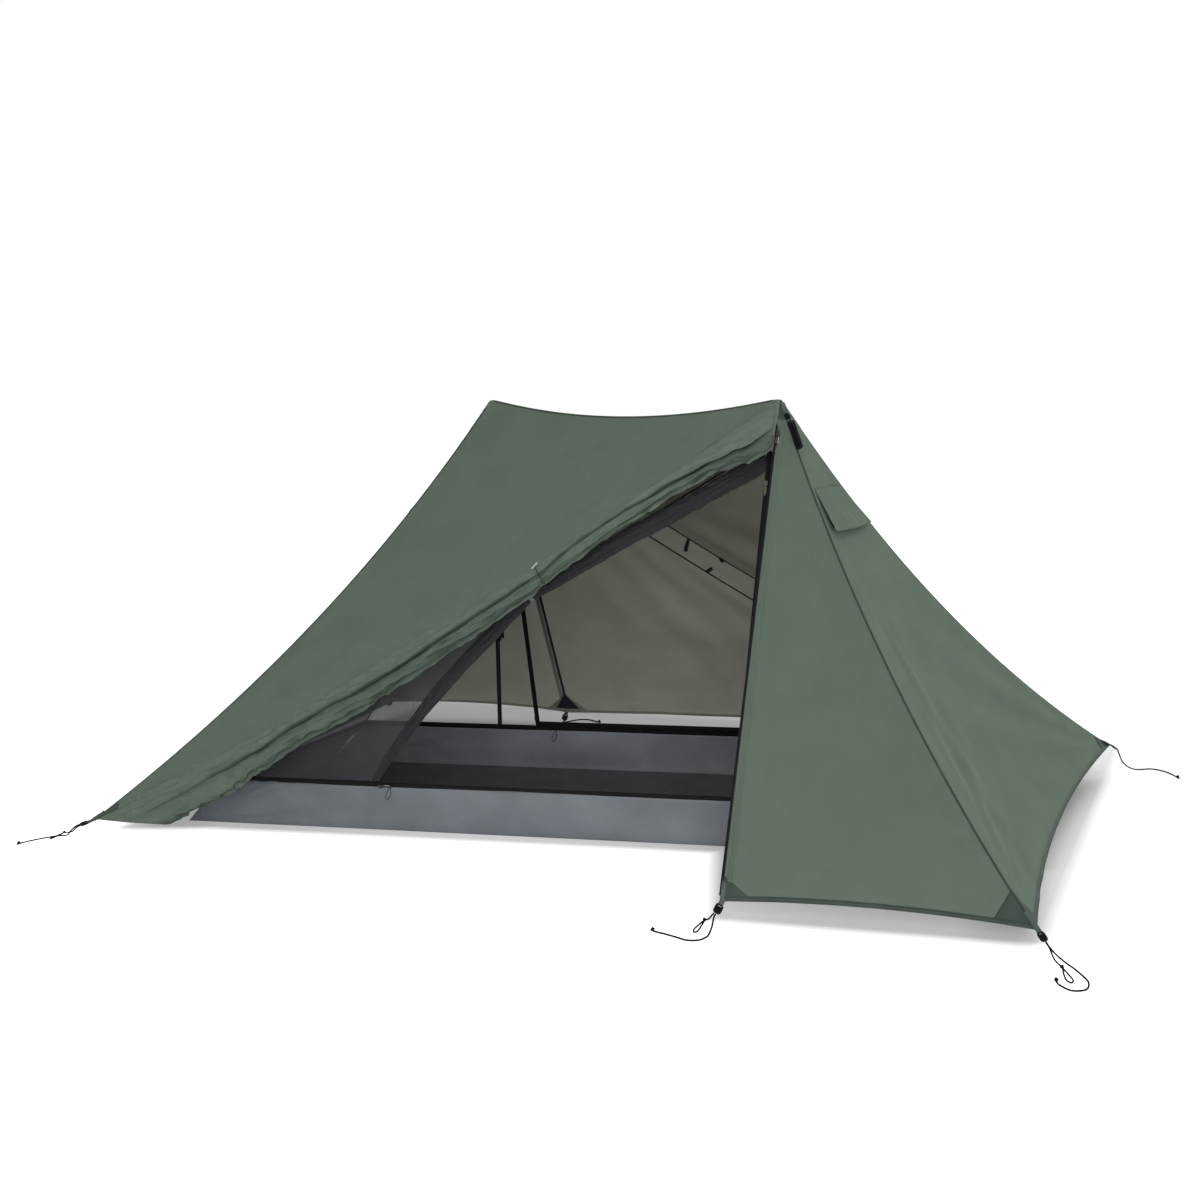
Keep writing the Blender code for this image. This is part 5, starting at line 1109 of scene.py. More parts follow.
# Braid: two sets of slanting strands that cross, read from a plan of length by girth.
braid, braid_in, braid_out = effect("braid", [("Plan", "Vector", None), ("Pitch", "Float", 1.0)],
                                    [("Height", "Float")])
split = braid.nodes.new("ShaderNodeSeparateXYZ")
braid.links.new(braid_in.outputs["Plan"], split.inputs[0])
strands = []
for way in (1.0, -1.0):
    slant = calculate(braid, "MULTIPLY_ADD", split.outputs["Y"], way, split.outputs["X"])
    turns = calculate(braid, "DIVIDE", slant, braid_in.outputs["Pitch"])
    strands.append(calculate(braid, "ABSOLUTE",
                             calculate(braid, "SINE", calculate(braid, "MULTIPLY", turns, math.pi))))
braid.links.new(calculate(braid, "MAXIMUM", *strands), braid_out.inputs["Height"])


def rope_piece(name, path, radius, sides, finish, body="tent"):
    """A round rope, cord or sleeve along a path."""
    return merged(put_mesh(name, *round_tube(path, radius, sides), [finish], body))


def cord_finish(name, dark, pale, pitch):
    """Braided cord: dark between its strands and paler on them."""
    made, tree, shader = new_finish(name, 0.85, {"Specular IOR Level": 0.05})
    strand = with_effect(tree, braid, plan_of(tree), Pitch=pitch)
    tree.links.new(shade_by(tree, strand.outputs["Height"], dark, pale, 0.3, 1.0),
                   shader.inputs["Base Color"])
    raise_by(tree, shader, strand.outputs["Height"], 0.8, 0.0004)
    return made


black_cord = cord_finish("black_braided_cord", tint(8, 8, 9), tint(24, 24, 26), 0.0016)


def knot_on(place, along, size, radius):
    """An overhand knot: a cord of the radius along a three-leaved curve (2 + cos 3t)(cos 2t, sin 2t) with
    sin 3t across it, as large as size, round a cord that runs along."""
    t = np.linspace(0, 2 * np.pi, 61)
    along = unit(along)
    side = unit(np.cross(along, (0.02, 0.03, 1.0)))
    over = np.cross(along, side)
    wide = (2 + np.cos(3 * t)) / 3 * size
    path = (np.asarray(place) + (wide * np.cos(2 * t))[:, None] * side
            + (wide * np.sin(2 * t))[:, None] * over
            + (np.sin(3 * t) * size * 0.55)[:, None] * along)
    return round_tube(path, radius, 8)


def seam_end_way(peak, corner):
    """The way a seam runs where it ends: its chord less four times its sag."""
    sag, hint = fly_sag.get(frozenset((peak, corner)), (0.0, down))
    chord = fly_corner[corner] - fly_corner[peak]
    return unit(chord - 4 * sag * square_to(hint, unit(chord)))


# Three of the straps hang slack from their corners, flatter or steeper than the seam above them.
slack_ways = {"front_left": np.array((-0.62, -0.75, -0.22)), "door_front": np.array((-0.42, -0.24, -0.88)),
              "door_back": np.array((-0.20, -0.30, -0.93))}


def strap_way(peak, corner):
    """The way a stake strap and its cord lock point away from their corner."""
    return unit(slack_ways[corner]) if corner in slack_ways else seam_end_way(peak, corner)


stake_radius, ground_gap = 0.0021, 0.0003
ground_cords = {
    "cord_front_left": ((-1.2845, -0.8268, 0.0449), "peak_left", "front_left", (
        (-0.031, -0.002, 12), (-0.058, 0.010, 3), (-0.087, 0.006, 1.1), (-0.108, -0.022, 1.1),
        (-0.125, -0.053, 1.1), (-0.135, -0.080, 1.1), (-0.1365, -0.098, 1.1))),
    "cord_front_right": ((1.2840, -0.8206, 0.0328), "peak_right", "front_right", (
        (0.022, -0.016, 7), (0.050, -0.036, 1.3), (0.080, -0.080, 1.1), (0.100, -0.122, 1.1),
        (0.098, -0.162, 1.1), (0.074, -0.175, 1.1), (0.046, -0.152, 1.1), (0.035, -0.125, 1.1))),
    "cord_back_right": ((1.2800, 0.8290, 0.0703), "peak_right", "back_right", (
        (0.022, 0.010, 12), (0.046, 0.018, 3), (0.072, 0.030, 1.1), (0.104, 0.046, 1.1),
        (0.138, 0.030, 1.1), (0.166, -0.006, 1.1), (0.188, -0.048, 1.1))),
    "cord_front_door": ((0.5870, -0.9250, 0.0460), "peak_right", "door_front", (
        (-0.006, -0.012, 8), (-0.010, -0.030, 1.2), (-0.020, -0.056, 1.1), (-0.044, -0.066, 1.1),
        (-0.074, -0.056, 1.1), (-0.104, -0.046, 1.1), (-0.127, -0.040, 1.1), (-0.144, -0.031, 1.1))),
    "cord_back_door": ((-0.6120, 0.9080, 0.0140), "peak_left", "door_back", (
        (0.004, 0.018, 2.0), (0.012, 0.045, 1.1), (0.030, 0.070, 1.1), (0.060, 0.080, 1.1),
        (0.090, 0.066, 1.1), (0.120, 0.054, 1.1))),
}
for node, (start, peak, corner, route) in ground_cords.items():
    start = np.array(start)
    given = [start, start + strap_way(peak, corner) * 4 * stake_radius]
    given += [np.array((start[0] + x, start[1] + y, z * stake_radius)) for x, y, z in route]
    path = smooth_route(given, 160)
    path[:, 2] = np.maximum(path[:, 2], stake_radius + ground_gap)
    rope = rope_piece("stake_" + node, path, stake_radius, 12, black_cord)
    last = path[-7]
    knot_place = last + np.array((0.0, 0.0, 0.0036))
    knot = merged(put_mesh("knot_of_" + node, *knot_on(knot_place, path[-1] - path[-9], 0.0038, 0.0014),
                           [black_cord]))
    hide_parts(node)

# Spare guylines: from each peak a thin black cord comes down its seam and is wound up in a hank, turn
# above turn around its own doubled end. The last turn is tucked under, and keeps it from running out.
line_radius, winding_radius, line_clearance, hank_turns, turn_points = 0.0012, 0.0078, 0.0006, 26, 14
lead_start, hank_start, hank_length = 0.041, 0.066, 0.078
for node, peak, corner in (("guyline_hank_right", "peak_right", "front_right"),
                           ("guyline_hank_left", "peak_left", "back_left")):
    def seam_at(distance):
        """The seam's place at a distance along its curve from the peak."""
        share = np.linspace(0, 0.3, 600)
        places = (between(fly_corner[peak], fly_corner[corner], share[:, None])
                  + seam_bend(fly_corner, fly_sag, peak, corner, share))
        run = lengths_along(places)
        return np.array([np.interp(distance, run, places[:, axis]) for axis in range(3)])

    panels = [labels for labels in fly_panels.values() if peak in labels and corner in labels]
    out = unit(sum(flat_normal(fly_corner, labels) for labels in panels))
    top, bottom = seam_at(hank_start), seam_at(hank_start + hank_length)
    along = unit(bottom - top)
    out = square_to(out, along)
    side = np.cross(along, out)
    lift = winding_radius + line_radius + line_clearance
    axis_top = top + out * lift
    lead = seam_at(lead_start) + out * (line_radius + line_clearance)
    rise = out * (lift - line_radius - line_clearance)
    share = np.array((0.0, 0.25, 0.5, 0.75))[:, None]
    easing = (1 - np.cos(np.pi * share)) / 2
    path = [lead + (axis_top - rise - lead) * share + rise * easing * (share > 0)]
    path.append(axis_top + along * hank_length * np.linspace(0, 1, 7)[:, None])
    angle = np.pi * np.arange(1, turn_points // 2)[:, None] / (turn_points // 2)
    path.append(axis_top + along * (hank_length + 2 * line_radius * np.sin(angle))
                + (out * np.cos(angle) + side * np.sin(angle)) * winding_radius * np.sin(angle / 2))
    step = np.arange(hank_turns * turn_points + 1)[:, None]
    angle = np.pi + 2 * np.pi * step / turn_points
    pitch = (hank_length - 4 * line_radius) / hank_turns
    path.append(axis_top + along * (hank_length - pitch * step / turn_points)
                + (out * np.cos(angle) + side * np.sin(angle))
                * (winding_radius - 0.0011 * np.cos(2 * np.pi * 9 * step / step[-1])))
    path = np.concatenate(path)
    hank = rope_piece("wound_" + node, path, line_radius, 10, black_cord)
    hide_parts(node)

# Stake straps: at each stake point 12 mm grey webbing is sewn up the seam and folded round the first bar
# of a black moulded cord lock, through which the stake cord runs. The six are made alike.


def webbing_band(path, across, width, columns=5):
    """A flat band: the path swept by its width to both sides. Returns places, faces and plan."""
    path = np.asarray(path, float)
    run = lengths_along(path)
    aside = np.linspace(-0.5, 0.5, columns) * width
    places = path[:, None, :] + aside[None, :, None] * np.broadcast_to(across, path.shape)[:, None, :]
    plan = np.stack(np.broadcast_arrays(run[:, None], aside[None, :] + width / 2), axis=-1)
    return places.reshape(-1, 3), grid_faces(len(path), columns), plan.reshape(-1, 2)


def closed_bar(path, upward, half_width, half_height, sides=10):
    """A moulded bar that closes on itself: each ring is the path's place plus the way square to the path
    and to upward by cosine, and upward by sine."""
    path = np.asarray(path, float)
    along = unit(np.roll(path, -1, axis=0) - np.roll(path, 1, axis=0))
    aside = unit(np.cross(along, upward))
    path, aside = np.concatenate([path, path[:1]]), np.concatenate([aside, aside[:1]])
    turn = np.linspace(0, 2 * np.pi, sides + 1)
    ring = (half_width * np.cos(turn))[None, :, None] * aside[:, None, :]
    places = path[:, None, :] + ring + (half_height * np.sin(turn))[None, :, None] * np.asarray(upward)
    plan = np.stack(np.broadcast_arrays(np.arange(len(path))[:, None] * 0.002,
                                        turn[None, :] * half_width), axis=-1)
    return places.reshape(-1, 3), grid_faces(len(path), sides + 1)[:, ::-1], plan.reshape(-1, 2)


def moulded_finish(name, dark, pale, roughness=0.5, shine=0.4):
    """Moulded plastic: a fine grain in its bump, and its colour a shade paler in small clouds."""
    made, tree, shader = new_finish(name, roughness, {"Specular IOR Level": shine})
    place = object_place(tree)
    tree.links.new(shade_by(tree, noise(tree, place, 180.0, 3.0), dark, pale), shader.inputs["Base Color"])
    raise_by(tree, shader, noise(tree, place, 1500.0, 2.0), 0.25, 0.0002)
    return made


grey_webbing = sewn_finish("grey_webbing", tint(76, 86, 81), tint(90, 101, 95), tint(60, 69, 65), 0.7,
                           (0.0016, 0.0104), 0.0011, {"Specular IOR Level": 0.15})
black_moulding = moulded_finish("black_moulding", tint(9, 9, 10), tint(17, 17, 19), 0.7, 0.1)


def squared_ring(turn, power):
    """Cosine and sine of a turn, each with its size raised to a power: a ring that fills its corners."""
    return [np.sign(way) * np.abs(way) ** power for way in (np.cos(turn), np.sin(turn))]


def lock_parts(centre, along, across, out, length, width):
    """A cord lock: a squared ring for its frame, and four bars across."""
    reach, aside = squared_ring(np.linspace(0, 2 * np.pi, 48, endpoint=False), 0.5)
    frame_path = (centre + (reach * (length / 2 - 0.0024))[:, None] * along
                  + (aside * (width / 2 - 0.0024))[:, None] * across)
    parts = [closed_bar(frame_path, out, 0.0024, 0.0026)]
    for share in (-0.17, 0.0, 0.17, 0.30):
        middle = centre + along * length * share
        share_across = np.linspace(-1, 1, 9)[:, None]
        bar = middle + across * (width / 2 - 0.0030) * share_across
        parts.append(round_tube(bar + out * 0.0008 * (1 - share_across ** 2), 0.0021, 10))
    return parts


stake_points = [("adjuster_front_left", "peak_left", "front_left", "fly_roof_front", 0.0),
                ("adjuster_front_right", "peak_right", "front_right", None, 0.0),
                ("adjuster_back_right", "peak_right", "back_right", None, 0.0),
                ("adjuster_back_left", "peak_left", "back_left", None, 0.0),
                ("adjuster_front_door", "peak_right", "door_front", "fly_front_panel", 0.005),
                ("adjuster_back_door", "peak_left", "door_back", "fly_back_panel", 0.011)]
strap_parts, lock_list = [], []
for node, peak, corner, panel, aside in stake_points:
    along, seam_along = strap_way(peak, corner), seam_end_way(peak, corner)
    joined_panels = [labels for name, labels in fly_panels.items() if peak in labels and corner in labels]
    if panel is not None:
        joined_panels = [fly_panels[panel]]
    out = unit(sum(flat_normal(fly_corner, labels) for labels in joined_panels))
    out = square_to(out, along)
    across = np.cross(out, along)
    centre = fly_corner[corner] + out * 0.0011
    if panel is not None:
        third = [label for label in fly_panels[panel] if label not in (peak, corner)][0]
        chord = unit(fly_corner[corner] - fly_corner[peak])
        centre = centre + square_to(fly_corner[third] - fly_corner[corner], chord) * aside
    turn = np.linspace(-np.pi / 2, np.pi / 2, 9)
    low = np.stack([np.linspace(-0.045, 0.0076, 24), np.full(24, 0.0006)], axis=1)
    bend = np.stack([0.0080 + 0.00125 * np.cos(turn), 0.00185 + 0.00125 * np.sin(turn)], axis=1)
    high = np.stack([np.linspace(0.0070, -0.030, 18), np.linspace(0.0031, 0.0019, 18)], axis=1)
    route = np.concatenate([low, bend, high])
    path = centre + route[:, :1] * np.where(route[:, :1] > 0, along, seam_along) + route[:, 1:] * out
    strap_parts.append(webbing_band(path, across, 0.012))
    lock_list += lock_parts(centre + along * 0.018 + out * 0.00185, along, across, out, 0.024, 0.020)
# The peaks carry the same webbing, a shorter tab with a small lock for the spare guyline.
for node, peak, corner in (("guyline_hank_right", "peak_right", "front_right"),
                           ("guyline_hank_left", "peak_left", "back_left")):
    share = np.linspace(0.003, 0.032, 18)
    panels = [name for name, labels in fly_panels.items() if peak in labels and corner in labels]
    seam_line = fly_place(panels[0], on_edge(fly_corner, fly_panels[panels[0]], peak, corner, share, 0.0))
    out = unit(sum(flat_normal(fly_corner, fly_panels[name]) for name in panels))
    along = unit(seam_line[-1] - seam_line[-4])
    out = square_to(out, along)
    across = np.cross(out, along)
    path = seam_line + out * (0.0016 + 0.0012 * np.linspace(0, 1, 18)[:, None])
    path[:4] = path[4] - (path[5] - path[4]) * np.linspace(3.2, 0.8, 4)[:, None] + down * np.array(
        [0.0055, 0.0032, 0.0015, 0.0004])[:, None]
    strap_parts.append(webbing_band(path, across, 0.013))
    lock_list += lock_parts(path[-1] + along * 0.0065 + out * 0.0006, along, across, out, 0.017, 0.016)
straps = put_mesh("stake_straps", *joined(strap_parts), [grey_webbing])
thick(straps, 0.0010, 0.0)
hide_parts(*[point[0] for point in stake_points])
locks = merged(put_mesh("stake_cord_locks", *joined(lock_list), [black_moulding]))
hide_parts(*[point[0] for point in stake_points])

# Stake loops: where the photograph shows it, the other end of the cord is tied off below its lock in a
# small loop for the stake's hook. It comes down to the ground, and its knot pulls both strands together.
loop_radius = 0.9 * stake_radius
for name, start, knot_spot, loop_end in (
        ("stake_loop_front_right", (1.2835, -0.8195, 0.0335), (1.3245, -0.8777, 0.0024),
         (1.352, -0.955, 0.0020)),
        ("stake_loop_front_left", (-1.2797, -0.8304, 0.0441), (-1.337, -0.831, 0.0180),
         (-1.373, -0.848, 0.0020)),
        ("stake_loop_front_door", (0.5820, -0.9210, 0.0460), (0.5555, -0.911, 0.0225),
         (0.540, -0.938, 0.0020)),
        ("stake_loop_back_door", (-0.6060, 0.9050, 0.0145), (-0.619, 0.886, 0.0040),
         (-0.609, 0.842, 0.0020))):
    start, knot_spot, loop_end = [np.array(spot) for spot in (start, knot_spot, loop_end)]
    way = unit(loop_end - knot_spot)
    aside = unit(np.cross(way, up))
    reach = np.linalg.norm(loop_end - knot_spot)
    sagged = start + (knot_spot - start) * 0.55 + down * 0.11 * np.linalg.norm(knot_spot - start)
    route = [start, start + (knot_spot - start) * 0.25 + down * 0.0015, sagged, knot_spot,
             knot_spot + way * reach * 0.40 + aside * 0.0042, knot_spot + way * reach * 0.86 + aside * 0.0062,
             loop_end, knot_spot + way * reach * 0.86 - aside * 0.0062,
             knot_spot + way * reach * 0.40 - aside * 0.0042, knot_spot + way * 0.001 - aside * 0.0006]
    path = smooth_route(route, 150)
    path[:, 2] = np.maximum(path[:, 2], stake_radius + ground_gap)
    rope = rope_piece(name, path, loop_radius, 12, black_cord)
    knot = merged(put_mesh("knot_of_" + name, *knot_on(knot_spot + up * 0.0020, way, 0.0036, 0.0013),
                           [black_cord]))

# Fly door tie: a thin loop of dark elastic cord round the rolled door, a third of the way down its seam.
# It is sewn into the seam and hooked over a small toggle of pale moulded plastic.
row = int(np.argmin(np.abs(roll_run - tie_run)))
middle = seam_points[row] + roll_downhill[row] * (roll_upper[row] + roll_lower[row]) / 2
half_width = (roll_lower[row] - roll_upper[row]) / 2
turn = np.linspace(0, 2 * np.pi, 64, endpoint=False)
reach = 1.02 + 0.02 * np.cos(2 * turn)
loop_path = (middle + (np.cos(turn) * (half_width * reach + 0.0008))[:, None] * roll_downhill[row]
             + (np.sin(turn) * (roll_depth[row] * reach + 0.0008))[:, None] * door_plane)
along = unit(seam_points[row + 2] - seam_points[row - 2])
toggle_place = middle + (roll_downhill[row] * math.cos(2.5) * (half_width + 0.003)
                         + door_plane * math.sin(2.5) * (roll_depth[row] + 0.005))
toggle_way = unit(-along * 0.9 + door_plane * 0.1 + up * 0.25)
elastic = cord_finish("dark_elastic", tint(34, 38, 36), tint(62, 70, 66), 0.0010)
pale_moulding = moulded_finish("pale_moulding", tint(150, 156, 150), tint(176, 182, 176), 0.45)
tie_loop = merged(put_mesh("fly_door_tie_loop", *closed_bar(loop_path, along, 0.0012, 0.0012), [elastic]))
toggle_path = toggle_place + toggle_way * np.linspace(-0.012, 0.012, 12)[:, None]
toggle = rope_piece("fly_door_toggle", toggle_path, 0.0026, 14, pale_moulding)
for piece in (tie_loop, toggle):
    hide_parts("fly_roll_tie")

# Inner door tie: a band of pale grey woven webbing round the rolled net. It is sewn to the panel's edge and
# closes behind the roll.
row = int(np.argmin(np.abs(net_run - first_length)))
middle = points[row] + net_downhill[row] * (net_upper[row] + net_lower[row]) / 2
half_width = (net_lower[row] - net_upper[row]) / 2
turn = np.linspace(0, 2 * np.pi, 49)
ring = (np.cos(turn) * (half_width * 1.06 + 0.0010))[:, None] * net_downhill[row] + (
    np.sin(turn) * (net_depth[row] * 1.06 + 0.0010))[:, None] * inner_normal
along = unit(points[row + 2] - points[row - 2])
pale_webbing = sewn_finish("pale_webbing", tint(118, 122, 126), tint(140, 144, 148), tint(100, 104, 108), 0.7,
                           (0.0018, 0.0102), 0.0011, {"Specular IOR Level": 0.15})
band = put_mesh("inner_door_tie_band", *webbing_band(middle + ring, along, 0.012), [pale_webbing])
merged(band, outward=True)
thick(band, 0.0011, 0.0)
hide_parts("inner_roll_tie")

# Hangers: at each inner peak the net's corner is gathered in a black webbing strap, which hangs from a
# loop under the fly's ridge by a small hook.
black_webbing = sewn_finish("black_webbing", tint(18, 18, 20), tint(30, 30, 33), tint(44, 44, 47), 0.75,
                            (0.0016, 0.0104), 0.0011, {"Specular IOR Level": 0.15})
hanger_parts, hook_parts = [], []
for way in (1.0, -1.0):
    spread = np.array((way, way, 1.0))
    foot, head = np.array((0.5120, -0.2735, 1.036)) * spread, np.array((0.5100, -0.2720, 1.1580)) * spread
    across = unit(np.array((1.0, -0.535, 0.0)) * spread)
    rise = np.linspace(0, 1, 20)[:, None]
    hanger_parts.append(webbing_band(foot + (head - foot) * rise, across, 0.012))
    hook = foot + (head - foot) * 0.52
    wide, high = squared_ring(np.linspace(0, 2 * np.pi, 40, endpoint=False), 0.6)
    hook_path = hook + (wide * 0.0085)[:, None] * across + (high * 0.011)[:, None] * up
    hook_parts.append(closed_bar(hook_path, unit(np.cross(across, up)), 0.0016, 0.0016))
hangers = thick(put_mesh("inner_hanger_straps", *joined(hanger_parts), [black_webbing]), 0.0014, 0.0)
hooks = merged(put_mesh("inner_hanger_hooks", *joined(hook_parts), [black_moulding]))
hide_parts("inner_hanger_right", "inner_hanger_left")
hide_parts("inner_hanger_right", "inner_hanger_left")

# Peak seats: inside each peak a doubled webbing patch is sewn into the panels' corners, with a shallow
# cup below it that the pole's grip pushes up into.
seat_parts = []
for peak in ("peak_right", "peak_left"):
    place = fly_corner[peak]
    for panel, labels in fly_panels.items():
        if peak in labels:
            seat_parts.append(corner_piece(panel, peak, 0.036, 0.036, -0.0010, 12))
    turn = np.linspace(0, 2 * np.pi, 33)
    profile_line = np.array([(0.0, 0.0), (0.0090, 0.0), (0.0118, 0.0005), (0.0122, 0.0020), (0.0110, 0.0060),
                             (0.0075, 0.0105), (0.0030, 0.0130), (0.0, 0.0134)])
    ring = profile_line[:, None, :1] * np.stack([np.cos(turn), np.sin(turn), 0 * turn], axis=1)[None]
    places = np.array((place[0], place[1], 1.1394)) + ring + profile_line[:, None, 1:] * up
    plan = np.stack(np.broadcast_arrays(np.arange(8)[:, None] * 0.003, turn[None, :] * 0.008), axis=-1)
    cup = merged(put_mesh("peak_cup_" + peak[5:], places.reshape(-1, 3), grid_faces(8, 33)[:, ::-1],
                          plan.reshape(-1, 2), [black_webbing]))
    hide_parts("peak_cap_" + peak[5:])
peak_patches = thick(merged(put_mesh("peak_patches", *joined(seat_parts), [black_webbing])), 0.0006)
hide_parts("peak_cap_right", "peak_cap_left")

# Zip sliders: black die-cast bodies with flat pulls, two on the fly and four on the inner tent. The front
# fly zip's pull has a white sleeve, the front inner one a yellow sleeve, and the others short cord loops.
slider_black = moulded_finish("slider_black", tint(12, 12, 13), tint(26, 26, 28), 0.35)
white_sleeve = moulded_finish("white_sleeve", tint(214, 216, 212), tint(232, 233, 230), 0.4)
yellow_sleeve = moulded_finish("yellow_sleeve", tint(168, 158, 92), tint(190, 180, 112), 0.4)
# Body, place of the slider, the way its pull hangs, the way it faces, sleeve, and the loop's reach.
sliders = [
    ("fly_front_slider", (0.56273, -0.34612, 1.08212), (0.0318, -0.4921, -0.8700), (-0.147, 0.860, -0.489),
     white_sleeve, 0.0),
    ("fly_back_slider", (-0.59317, 0.88873, 0.09389), (0.0311, -0.4815, 0.8759),
     (0.021, -0.872, -0.489), None, 0.026),
    ("inner_front_side_slider", (0.51031, -0.2778, 0.9555), (-0.091, -0.024, -0.996), (-0.179, 0.984, -0.007),
     yellow_sleeve, 0.042),
    ("inner_front_sill_slider", (-0.54032, -0.47173, 0.12551), (0.985, 0.171, 0.0), (0.171, -0.985, 0.0),
     white_sleeve, 0.036),
    ("inner_back_side_slider", (-0.43247, 0.30206, 0.15985), (0.091, 0.024, 0.996),
     (0.179, -0.984, 0.007), None, 0.0),
    ("inner_back_sill_slider", (-0.39556, 0.30888, 0.12551), (0.985, 0.171, 0.0),
     (0.171, -0.985, 0.0), None, 0.040),
]
sleeve_start, pull_length = 0.0075, 0.0275
for node, place, pull, facing, sleeve, loop_reach in sliders:
    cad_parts[node].material_slots[0].material = slider_black
    place, pull, facing = np.array(place), unit(pull), unit(facing)
    if sleeve is not None:
        first, last = place + pull * sleeve_start, place + pull * pull_length
        path = first + (last - first) * np.linspace(0, 1, 14)[:, None]
        cover = rope_piece(node.replace("slider", "sleeve"), path, 0.0036, 16, sleeve, node)
    if loop_reach > 0:
        # The back fly slider's cord stands off the flared tapes, and a sill slider's leans over the binding.
        end = place + pull * pull_length + facing * (0.0060 if node == "fly_back_slider" else 0.0012)
        wide = unit(np.cross(down, facing))
        lean = {"inner_front_sill_slider": 0.40, "inner_back_sill_slider": 0.62}.get(node, 0.12)
        hang = unit(down + 0.12 * wide + lean * facing)
        route = [end, end + hang * loop_reach * 0.3 + wide * 0.0040,
                 end + hang * loop_reach * 0.75 + wide * 0.0065,
                 end + hang * loop_reach, end + hang * loop_reach * 0.75 - wide * 0.0060,
                 end + hang * loop_reach * 0.3 - wide * 0.0040, end + hang * 0.0010 - wide * 0.0018]
        path = smooth_route(route, 90)
        path[:, 2] = np.maximum(path[:, 2], 0.0012)
        loop = rope_piece(node.replace("slider", "pull_cord"), path, 0.0007, 10, black_cord, node)

# Inner ceiling tapes: the fly's rear seam is bound inside in black tape, with small webbing loops to clip
# the inner tent to; another loop is sewn on the inner's own rear seam.
seam_tape = put_mesh("fly_inside_seam_tape",
                     *fly_strip("fly_back_door", "peak_left", "back_right", (0.02, 0.985),
                                                         (0.0, 0.0045), -0.0016, 140, 3), [zip_black])
thick(seam_tape, 0.0012, 0.0)
loop_parts = []
for spot, drop, wide in (((0.0330, 0.4605, 0.7275), (-0.010, -0.004, -0.040), 0.010),
                         ((0.1250, 0.4870, 0.6670), (0.012, 0.000, -0.012), 0.010),
                         ((0.1141, 0.3896, 0.6338), (0.018, 0.004, 0.012), 0.010),
                         ((-0.0330, -0.4605, 0.7275), (0.010, 0.004, -0.030), 0.010)):
    spot, drop = np.array(spot), np.array(drop)
    aside = unit(np.cross(drop, (0.35, 1.0, 0.1)))
    t = np.linspace(0, 1, 24)
    lift = unit(np.cross(aside, drop))
    path = spot + drop * np.sin(np.pi * t)[:, None] + lift * (0.0035 * np.sin(2 * np.pi * t))[:, None]
    loop_parts.append(webbing_band(path, aside, wide))
toggles = thick(put_mesh("ceiling_loops", *joined(loop_parts), [black_webbing]), 0.0010, 0.0)

# Vent props: a short stay of pale stiffened webbing under each hood's lip. It turns at the end panel and
# pushes the hood open.
stay_webbing = moulded_finish("pale_stay_webbing", tint(120, 128, 120), tint(146, 154, 146), 0.6)
for side in ("right", "left"):
    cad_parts["vent_prop_" + side].material_slots[0].material = stay_webbing

# Trekking poles: two sections of dark anodised aluminium tube with a cam lock, a black moulded basket and
# a ribbed foam grip, which stands upwards in the peak.
anodised, tree, shader = new_finish("anodised_tube", 0.38, {"Metallic": 0.6, "Specular IOR Level": 0.4})
place = object_place(tree)
streak = tree.nodes.new("ShaderNodeMapping")
streak.inputs["Scale"].default_value = (900.0, 900.0, 6.0)
tree.links.new(place, streak.inputs["Vector"])
brushed = noise(tree, streak.outputs["Vector"], 1.0, 2.0)
tree.links.new(shade_by(tree, brushed, tint(30, 31, 33), tint(46, 47, 50)), shader.inputs["Base Color"])
raise_by(tree, shader, brushed, 0.15, 0.0001)
foam, tree, shader = new_finish("grip_foam", 0.85, {"Specular IOR Level": 0.2})
place = object_place(tree)
cells = tree.nodes.new("ShaderNodeTexVoronoi")
cells.inputs["Scale"].default_value = 900.0
tree.links.new(place, cells.inputs["Vector"])
split = tree.nodes.new("ShaderNodeSeparateXYZ")
tree.links.new(place, split.inputs[0])
ribs = calculate(tree, "ABSOLUTE",
                 calculate(tree, "SINE", calculate(tree, "MULTIPLY", split.outputs["Z"], 420.0)))
tree.links.new(shade_by(tree, noise(tree, place, 60.0, 2.0), tint(22, 22, 23), tint(38, 38, 40), 0.3, 0.7),
               shader.inputs["Base Color"])
raise_by(tree, shader, calculate(tree, "MULTIPLY_ADD", ribs, 1.0,
                                 calculate(tree, "MULTIPLY", cells.outputs["Distance"], 0.3)),
         0.6, 0.0012)
for side in ("right", "left"):
    for part in ("upper_shaft", "lower_shaft"):
        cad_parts["pole_" + side + "_" + part].material_slots[0].material = anodised
    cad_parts["pole_" + side + "_grip"].material_slots[0].material = foam
    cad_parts["pole_" + side + "_lock_lever"].material_slots[0].material = black_moulding

# Stage: a white floor that shows the tent's shadow, a white sky and three soft lamps. The floor glows to the
# camera, and this glow is held back by position, which paints shadow on it: under and behind the tent, and in
# bands before the tub, under the closed front panel's hem and beside the ends. There the shade is painted
# shadow as well as cast shadow.


def camera_rays(tree):
    """1 for what the camera sees, straight, in a mirror or through net, and 0 for what lights the tent."""
    path = tree.nodes.new("ShaderNodeLightPath")
    indirect = calculate(tree, "MAXIMUM", path.outputs["Is Glossy Ray"], path.outputs["Is Transmission Ray"])
    return calculate(tree, "MAXIMUM", path.outputs["Is Camera Ray"], indirect)


